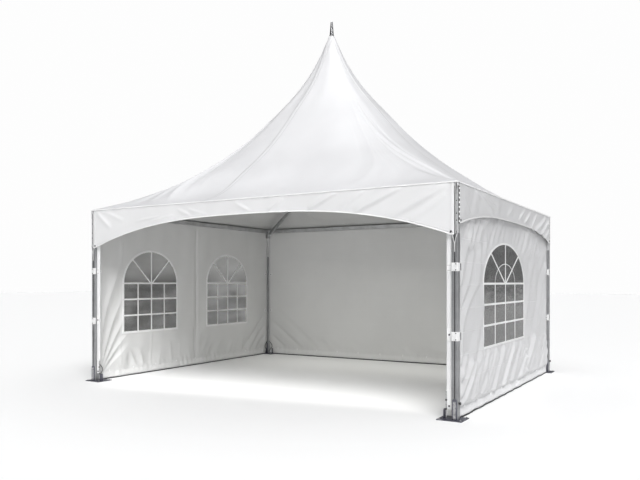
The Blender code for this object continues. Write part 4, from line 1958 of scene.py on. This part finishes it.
    def build_bolts(self) -> None:
        """Builds the bolts of the foot and the knob beside it."""
        front, flank = self.sides
        bolts, knobs, bars = bmesh.new(), bmesh.new(), bmesh.new()
        face, washer = self.half + 0.0105, 0.002
        for z in self.bolt_heights:
            self.fit(bolts, Fittings.WASHER, front, (0.0, z, face), 14)
            self.fit(bolts, Fittings.BOLT, front, (0.0, z, face + washer), 6)
        sx, sy = self.corner.value
        for dx in self.plate_bolts[0]:
            for dy in self.plate_bolts[1]:
                spot = self.centre + np.array([sx * dx, sy * dy, 0.0081])
                add_turned(bolts, Fittings.WASHER, stand(spot, (0, 0, 1)), 14)
                add_turned(bolts, Fittings.BOLT, stand(spot + np.array([0, 0, washer]), (0, 0, 1)), 6)
        self.fit(knobs, Fittings.KNOB, flank, (0.0, 0.158, self.half), 16)
        cover = rounded(0.025, 0.012, 0.178, 0.001, 0.006, 3)
        self.lay(bars, cover, 0.0022, front, (0.0, 0.0, self.half + 0.0082))
        bar = rounded(0.012, 0.0085, 0.268, 0.001, 0.006, 3)
        self.lay(bars, bar, 0.004, front, (self.bar_inward, 0.0, 0.010))
        for z in (0.185, 0.10):
            self.fit(knobs, Fittings.STUD, front, (self.bar_inward, z, 0.0141))
        self.add_loops(knobs)
        make_piece(f"foot_bolts_{self.corner.label}", bolts, ZINC, bevel=0.0004)
        make_piece(f"foot_knobs_{self.corner.label}", knobs, Rubber())
        make_piece(f"foot_bar_{self.corner.label}", bars, ZINC, bevel=0.0008)

    def add_loops(self, bm: Mesh) -> None:
        """Adds the elastic loops that hold the walls' lower corners.

        Args:
            bm: Mesh to add to.
        """
        front, flank = self.sides
        steps = 14
        for side in (flank,) if self.corner.value[1] < 0 else (flank, front):
            path = []
            for i in range(steps + 1):
                t = i / steps
                bulge = math.sin(math.pi * t)
                path.append(self.at(side, 0.031 + 0.075 * bulge, 0.23 - 0.18 * t, -0.012 - 0.004 * bulge))
            add_tube(bm, path, 0.0046)

    def build_ties(self) -> None:
        """Builds the cord that ties the valances' corners to the post."""
        front = self.sides[0]
        out = self.half + 0.0034
        low = Vector(self.at(front, 0.0, self.tie_height, out))
        cords = bmesh.new()
        cells = 6
        starts = (self.at(front, 0.0285, 1.768, self.half + 0.0075), self.at(front, -0.026, 1.750, out + 0.0012))
        for start in starts:
            path = [Vector(start).lerp(low, i / cells) for i in range(cells + 1)]
            for i, point in enumerate(path):
                point += Vector(front.outward) * 0.004 * math.sin(math.pi * i / cells)
            add_tube(cords, path, 0.0030)
        stem = [self.at(front, 0.0, self.tie_height + 0.004 - 0.014 * i, out) for i in range(cells + 1)]
        add_tube(cords, stem, 0.0036)
        make_piece(f"corner_tie_{self.corner.label}", cords, Webbing())

    def build_edge_strip(self) -> None:
        """Builds the white strip beside a front post, with its tongue and tabs."""
        front = self.sides[0]
        label = "left" if self.corner.value[0] < 0 else "right"
        reach = self.half + self.strip_reach
        bm = new_grid(8, 90)
        share = read_points(bm)
        u = (share[:, 0] + 1.0) / 2.0
        inward = self.slot_floor + 0.002 + (reach - self.slot_floor - 0.002) * u
        z = self.strip_bottom + (self.strip_top - self.strip_bottom) * share[:, 1]
        wave = Ripple(0.0016, 0.5, 1.0, seed=21).lift(z, inward)
        crown = 0.0045 * np.sin(math.pi * np.clip((inward - self.half) / self.strip_reach, 0.0, 1.0))
        points = np.array([self.at(front, i, h, 0.0) for i, h in zip(inward, z)])
        points += front.outward[None, :] * (crown + wave * ease(inward, self.half, self.half + 0.02))[:, None]
        keep_numbers(bm, hem=np.minimum(reach - inward, inward - self.half + 0.001), run=z)
        move_points(bm, points)
        strip = make_piece(
            f"front_edge_strip_{label}_cloth", bm, CoatedFabric("strip_cloth", (0.86, 0.86, 0.865), 0.40, hem=0.007),
            thickness=0.002, replaces=[f"front_edge_strip_{label}"], outward=front.outward, offset=0.0,
        )
        trims, studs = bmesh.new(), bmesh.new()
        middle = self.half + self.strip_reach / 2
        tongue = rounded(0.042, 0.10, 0.290, 0.012, 0.004)
        self.lay(trims, tongue, 0.0026, front, (middle, 0.0, 0.0050))
        self.fit(studs, Fittings.STUD, front, (middle, 0.128, 0.0078), 14)
        tab_middle = middle - 0.002
        for low, high, foot in ((0.742, 0.862, 0.021), (1.395, 1.470, 0.006)):
            tab = rounded(0.047, low, high, foot, 0.005)
            self.lay(trims, tab, 0.0030, front, (tab_middle, 0.0, 0.0062))
        self.fit(studs, Fittings.STUD, front, (tab_middle, 0.800, 0.0094), 14)
        line = rounded(0.040, -0.0012, 0.0012, 0.0005, 0.0005, 1)
        for z in (1.408, 1.457):
            self.lay(studs, line, 0.0006, front, (tab_middle, z, 0.0094))
        tabs = make_piece(f"edge_strip_tabs_{label}", trims, WeldedStrip(), bevel=0.0008)
        dots = make_piece(f"edge_strip_studs_{label}", studs, DARK_ZINC)


def hang_light(data: bpy.types.Light, at: Sequence[float], turn: Sequence[float]) -> None:
    """Hangs a light that the camera doesn't see.

    Args:
        data: The light.
        at: Where it hangs.
        turn: Its turn about X, Y and Z in degrees.
    """
    lamp = place_object(data.name, data)
    lamp.location = at
    lamp.rotation_euler = [math.radians(angle) for angle in turn]
    lamp.visible_camera = False


@dataclass(frozen=True)
class Sun:
    """Soft distant light from the front.

    Attributes:
        name: Its name.
        share: How much of full white it gives a surface that faces it.
        elevation: Its height in degrees.
        azimuth: How far it stands to the right, in degrees.
        softness: Its width in degrees.
    """

    name: str
    share: float
    elevation: float
    azimuth: float
    softness: float = 36.0

    def hang(self) -> None:
        """Hangs the light."""
        data = bpy.data.lights.new(self.name, "SUN")
        data.energy = self.share * math.pi
        data.angle = math.radians(self.softness)
        hang_light(data, (0.0, -8.0, 8.0), (90 - self.elevation, 0.0, self.azimuth))


@dataclass(frozen=True)
class Panel:
    """Flat soft light near the tent.

    Attributes:
        name: Its name.
        size: Its width and height.
        power: Its power in watts.
        spread: How wide its beam is, in degrees.
        tint: Its colour.
        at: Where it hangs.
        turn: Its turn about X, Y and Z in degrees.
    """

    name: str
    size: Point
    power: float
    spread: float
    tint: Colour
    at: Spot
    turn: Spot = (0.0, 0.0, 0.0)

    def hang(self) -> None:
        """Hangs the light."""
        data = bpy.data.lights.new(self.name, "AREA")
        data.shape = "RECTANGLE"
        data.size, data.size_y = self.size
        data.energy = self.power
        data.spread = math.radians(self.spread)
        data.color = self.tint
        hang_light(data, self.at, self.turn)


@dataclass
class Studio:
    """Camera, floor and lights of the picture.

    Attributes:
        camera_at: Where the camera stands.
        camera_turn: How far it turns to the left, in radians.
        lens: Focal length in millimetres.
        shift: Upward shift as a share of the width.
        backdrop: Brightness of what the camera sees behind the floor.
        sky: Strength of the light from the left and from the right.
        sky_turn: Where it starts and stops to change, as the X of its direction.
        sky_back: The same for its Y, with the share of the light there.
        lights: Suns from the front right and overhead, and panels in the opening and over the floor.
    """

    camera_at: Spot = (4.568, -8.0, 1.297)
    camera_turn: float = 0.5364
    lens: float = 37.506
    shift: float = 0.0658
    backdrop: float = 0.985
    sky: tuple[float, float] = (0.06, 0.42)
    sky_turn: tuple[float, float] = (-0.55, 0.65)
    sky_back: tuple[float, float, float, float] = (-0.4, 0.8, 1.0, 0.6)
    lights: tuple[Sun | Panel, ...] = (
        Sun("key", 0.97, 50, 36),
        Sun("high", 0.05, 74, 40),
        Panel("fill", (4.4, 1.3), 13.5, 130, (1.0, 1.0, 0.96), (0.2, -1.85, 0.90), (59, 0.0, 8)),
        Panel("inner", (4.2, 1.2), 8.2, 90, (1.0, 1.0, 0.94), (0.0, 1.15, 1.9)),
    )

    def build(self) -> None:
        """Builds the camera, the floor and the lights."""
        self.build_camera()
        self.build_floor()
        self.build_world()
        for light in self.lights:
            light.hang()

    def build_camera(self) -> None:
        """Sets up the camera at the picture's place."""
        data = bpy.data.cameras.new("camera")
        data.lens = self.lens
        data.sensor_width = 36.0
        data.shift_y = self.shift
        data.clip_end = 400.0
        camera = place_object("camera", data)
        camera.location = self.camera_at
        camera.rotation_euler = (math.pi / 2, 0.0, self.camera_turn)
        bpy.context.scene.camera = camera

    def build_floor(self) -> None:
        """Lays a wide pale floor, with painted shade that darkens it near the tent and a painted glow that grows away
        from the tent.
        """
        bm = bmesh.new()
        bmesh.ops.create_grid(bm, x_segments=8, y_segments=8, size=70.0)
        mesh = bpy.data.meshes.new("studio_floor")
        bm.to_mesh(mesh)
        bm.free()
        shader = Shader("studio_floor")
        place = shader.place()
        x, y = (shader.axis(place, name) for name in "XY")
        away = (x * x + y * y) ** 0.5
        outside = away.fade(2.2, 5.0)
        # Painted shade and glow: the floor is darker near the tent, and glows more the further it lies from it, so the
        # far floor reads as plain white.
        tone = shader.mixed(outside, (0.86, 0.86, 0.86), (0.90, 0.90, 0.90))
        painted_glow = shader.mixed(outside, (0.02, 0.02, 0.02), (0.15, 0.15, 0.15))
        shader.set(Base_Color=tone, Roughness=0.75, Emission_Color=painted_glow, Emission_Strength=1.0)
        mesh.materials.append(shader.material)
        floor = place_object("studio_floor", mesh)

    def build_world(self) -> None:
        """Lights the tent from all round, before a plain backdrop."""
        scene = bpy.context.scene
        scene.view_settings.view_transform = "Standard"
        scene.world = bpy.data.worlds.new("studio")
        scene.world.use_nodes = True
        nodes = Nodes(scene.world.node_tree)
        nodes.tree.nodes.remove(nodes.tree.nodes["Background"])
        aim = nodes.add("ShaderNodeTexCoord", output="Generated")
        across = nodes.axis(aim, "X").fade(*self.sky_turn, *self.sky)
        level = across * nodes.axis(aim, "Y").fade(*self.sky_back)
        lit = nodes.add("ShaderNodeBackground", None, {"Color": (0.97, 0.98, 1.0, 1.0), "Strength": level})
        seen = nodes.add("ShaderNodeBackground", None, {"Color": (*(self.backdrop,) * 3, 1.0)})
        rays = nodes.add("ShaderNodeLightPath", output="Is Camera Ray")
        mix = nodes.add("ShaderNodeMixShader", None, {0: rays, 1: lit, 2: seen})
        nodes.feed(nodes.tree.nodes["World Output"].inputs["Surface"], mix)


def dress_frame() -> None:
    """Gives each CAD node that stays in view its finish."""
    bright = (0.62, 0.625, 0.63)
    upright_turn = (0.0, math.pi / 2, 0.0)
    upright = MillAluminium("aluminium_upright", turn=upright_turn)
    head = MillAluminium("aluminium_head", (0.78, 0.785, 0.79), upright_turn, 0.40)
    across = MillAluminium("aluminium_across", bright, roughness=0.45)
    deep = MillAluminium("aluminium_deep", bright, (0.0, 0.0, math.pi / 2), 0.45)
    finishes = {
        "foot_": CoatedSteel(),
        "post_": upright,
        "corner_head_": head,
        "eave_beam_front": across,
        "eave_beam_back": across,
        "eave_beam_left": deep,
        "eave_beam_right": deep,
        "hip_rafter_": upright,
        "centre_hub": upright,
        "king_post": upright,
        "finial": PlainMetal("brushed_steel", (0.42, 0.42, 0.43), 0.28),
    }
    for name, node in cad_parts.items():
        for start, finish in finishes.items():
            if name.startswith(start):
                node.data.materials.clear()
                node.data.materials.append(material_of(finish))


def build_valances() -> None:
    """Builds the four valances with the creases that the eave pulls into them."""
    long_folds = [
        Fold((2.40, 2.215), (1.76, 1.90), 0.048, 0.030),
        Fold((2.38, 2.12), (2.02, 1.88), 0.042, 0.018),
        Fold((1.92, 2.22), (1.40, 2.00), 0.042, 0.028),
        Fold((1.52, 2.215), (1.22, 2.04), 0.034, 0.014),
        Fold((1.20, 2.22), (0.86, 2.06), 0.036, 0.022),
        Fold((0.54, 2.21), (0.34, 2.075), 0.032, 0.014),
        Fold((-2.40, 2.22), (-2.12, 1.99), 0.042, 0.018),
        Fold((-2.26, 2.22), (-1.90, 2.08), 0.038, 0.010),
        Fold((-1.70, 2.060), (-1.28, 2.105), 0.024, 0.010),
        Fold((-1.50, 2.035), (-1.05, 2.11), 0.024, 0.010),
        Fold((-1.00, 2.18), (-0.76, 2.075), 0.036, 0.009),
        Fold((-0.83, 2.17), (-0.50, 2.07), 0.034, 0.008),
        Fold((-0.12, 2.20), (0.10, 2.09), 0.030, 0.010),
    ]
    short_folds = [
        Fold((-1.48, 2.21), (-0.82, 2.03), 0.060, 0.020),
        Fold((-1.22, 2.21), (-0.66, 2.08), 0.050, 0.014),
        Fold((-1.84, 2.10), (-1.60, 1.93), 0.050, 0.010),
        Fold((-0.30, 2.06), (-0.02, 2.19), 0.050, 0.008),
        Fold((0.20, 2.05), (0.50, 2.20), 0.034, 0.014),
        Fold((0.46, 2.02), (0.82, 2.20), 0.036, 0.018),
        Fold((0.62, 2.02), (0.92, 2.14), 0.034, -0.010),
        Fold((0.80, 1.98), (1.16, 2.20), 0.038, 0.018),
        Fold((1.00, 1.96), (1.70, 2.20), 0.044, 0.028),
        Fold((1.22, 1.95), (1.80, 2.15), 0.036, -0.012),
        Fold((1.32, 1.92), (1.92, 2.17), 0.042, 0.028),
        Fold((1.60, 1.88), (1.93, 2.05), 0.034, 0.018),
    ]
    waves = Ripple(0.0032, 0.42, 1.5, 0.5, seed=3)
    long_marks, short_marks = (waves, *long_folds), (waves, *short_folds)
    long_sizes = {"reach": 2.4545, "plane": 1.9990, "drop": 0.175, "corner_drop": 0.495, "bend": 2.75}
    for side in (Side.FRONT, Side.BACK):
        Valance(side, **long_sizes, inner_reach=2.4287, marks=long_marks).build()
    # Darker copies of the valance cloth and of the white piping: painted shade on the side valances.
    cloth = CoatedFabric("side_valance_cloth", (0.625, 0.625, 0.631), 0.40, hem=0.03)
    trim = WeldedStrip("side_piping", (0.72, 0.72, 0.72))
    short_sizes = {"reach": 1.9525, "plane": 2.4990, "drop": 0.235, "corner_drop": 0.385, "bend": 3.0}
    for side in (Side.LEFT, Side.RIGHT):
        Valance(side, **short_sizes, inner_reach=1.9287, marks=short_marks, cloth=cloth, trim=trim).build()


def build_walls() -> None:
    """Builds the three walls with their hanging folds."""
    bottom = float(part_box("left_wall")[0][2])
    side_reach, side_plane = 1.9387, 2.463
    back_reach, back_plane = 2.4387, 1.963
    # A lighter, clearer copy of the window film: painted light on the back window of the left wall.
    film = ClearFilm("window_film_back", (0.32, 0.32, 0.315), 1.4, 0.66)
    windows = (ArchedWindow("left_window_front", -0.95, 1.04), ArchedWindow("left_window_back", 0.80, 1.04, film=film))
    left_folds = (
        Ripple(0.004, 0.5, 7.0, 0.15, seed=8),
        CornerFan((-1.93, 0.02), (34.0, 90.0), 5, 0.032, (0.75, 2.4), seed=3),
        Fold((-1.50, 2.14), (-1.52, 1.45), 0.030, -0.012),
        Fold((0.035, 2.17), (0.035, 0.03), 0.030, 0.022),
        Fold((0.00, 0.11), (-0.03, 0.60), 0.030, 0.024),
        Fold((-0.95, 0.60), (-0.95, 0.03), 0.012, -0.010),
        Fold((-1.52, 0.55), (-1.52, 0.03), 0.012, -0.008),
        Pleats((-1.45, 0.09), (-0.10, 0.58), 0.24, 0.020, -0.35, 0.6, seed=5),
        Pleats((0.06, 0.09), (1.45, 0.60), 0.22, 0.026, 0.62, 0.6, seed=9),
        Fold((1.42, 0.12), (1.86, 0.52), 0.045, 0.026),
        Fold((1.58, 0.11), (1.89, 0.36), 0.036, 0.022),
        Fold((1.20, 0.12), (1.84, 0.70), 0.050, 0.020),
    )
    Wall(Side.LEFT, side_reach, side_plane, windows, left_folds, bottom=bottom, flare=-0.018).build()
    # A darker copy of the window film: painted shade on the right window.
    film = ClearFilm("window_film_right", (0.115, 0.115, 0.114), 0.85, 0.72)
    # A darker copy of the welded strip: painted shade on the right window's border and bars.
    trim = WeldedStrip("outer_strip", (0.78, 0.78, 0.78))
    window = ArchedWindow("right_window", -0.25, 1.68, border=0.021, bar=0.022, inner_arc=True, film=film, trim=trim)
    slow = (1.4, 2.6)
    right_folds = (
        Ripple(0.004, 0.45, 5.0, 0.6, seed=8),
        Pleats((-1.93, 0.10), (-0.95, 2.15), 0.31, 0.022, 0.72, 0.25, skew=slow, seed=21),
        Pleats((0.50, 0.10), (1.93, 2.12), 0.34, 0.019, 0.80, 0.35, skew=slow, seed=23),
        Pleats((-1.93, 0.095), (1.90, 0.64), 0.150, 0.027, 1.15, 0.2, (0.10, 0.03), slow, 0.6, seed=24),
        Pleats((-1.90, 0.095), (1.85, 0.60), 0.34, 0.016, 0.95, 0.3, (0.10, 0.05), slow, 0.8, seed=25),
        Pleats((-1.70, 1.62), (1.50, 2.16), 0.20, 0.016, 0.75, 0.5, skew=slow, seed=26),
        Fold((0.62, 0.60), (0.62, 0.03), 0.012, 0.012),
    )
    # A darker copy of the wall cloth: painted shade on the right wall, with stronger painted crease highlights and a
    # lighter hem band.
    cloth = CoatedFabric("outer_wall_cloth", (0.595, 0.595, 0.602), 0.44, (0.225, 1.3), hem=0.035, band=1.25)
    Wall(Side.RIGHT, side_reach, side_plane, (window,), right_folds, bottom=bottom, cloth=cloth).build()
    back_folds = (
        Ripple(0.004, 0.9, 5.0, 0.1, seed=17),
        Fold((-2.36, 0.60), (-1.72, 0.12), 0.050, 0.026),
        Fold((-2.38, 0.36), (-2.06, 0.11), 0.040, 0.022),
        Fold((-2.20, 0.78), (-1.38, 0.12), 0.055, 0.016),
        Fold((2.36, 0.60), (1.72, 0.12), 0.050, 0.026),
        Fold((2.38, 0.36), (2.06, 0.11), 0.040, 0.022),
        Pleats((-1.6, 0.09), (1.9, 0.42), 0.30, 0.010, -0.5, 0.7, seed=18),
    )
    Wall(Side.BACK, back_reach, back_plane, (), back_folds, bottom=bottom, pitch=0.021, flare=-0.016).build()


def main() -> None:
    """Builds the pieces in order."""
    logging.basicConfig(level=logging.INFO, format="%(name)s: %(message)s")
    Studio().build()
    dress_frame()
    Canopy().build()
    build_valances()
    build_walls()
    for corner in Corner:
        CornerDress(corner).build()


if __name__ == "__main__":
    main()
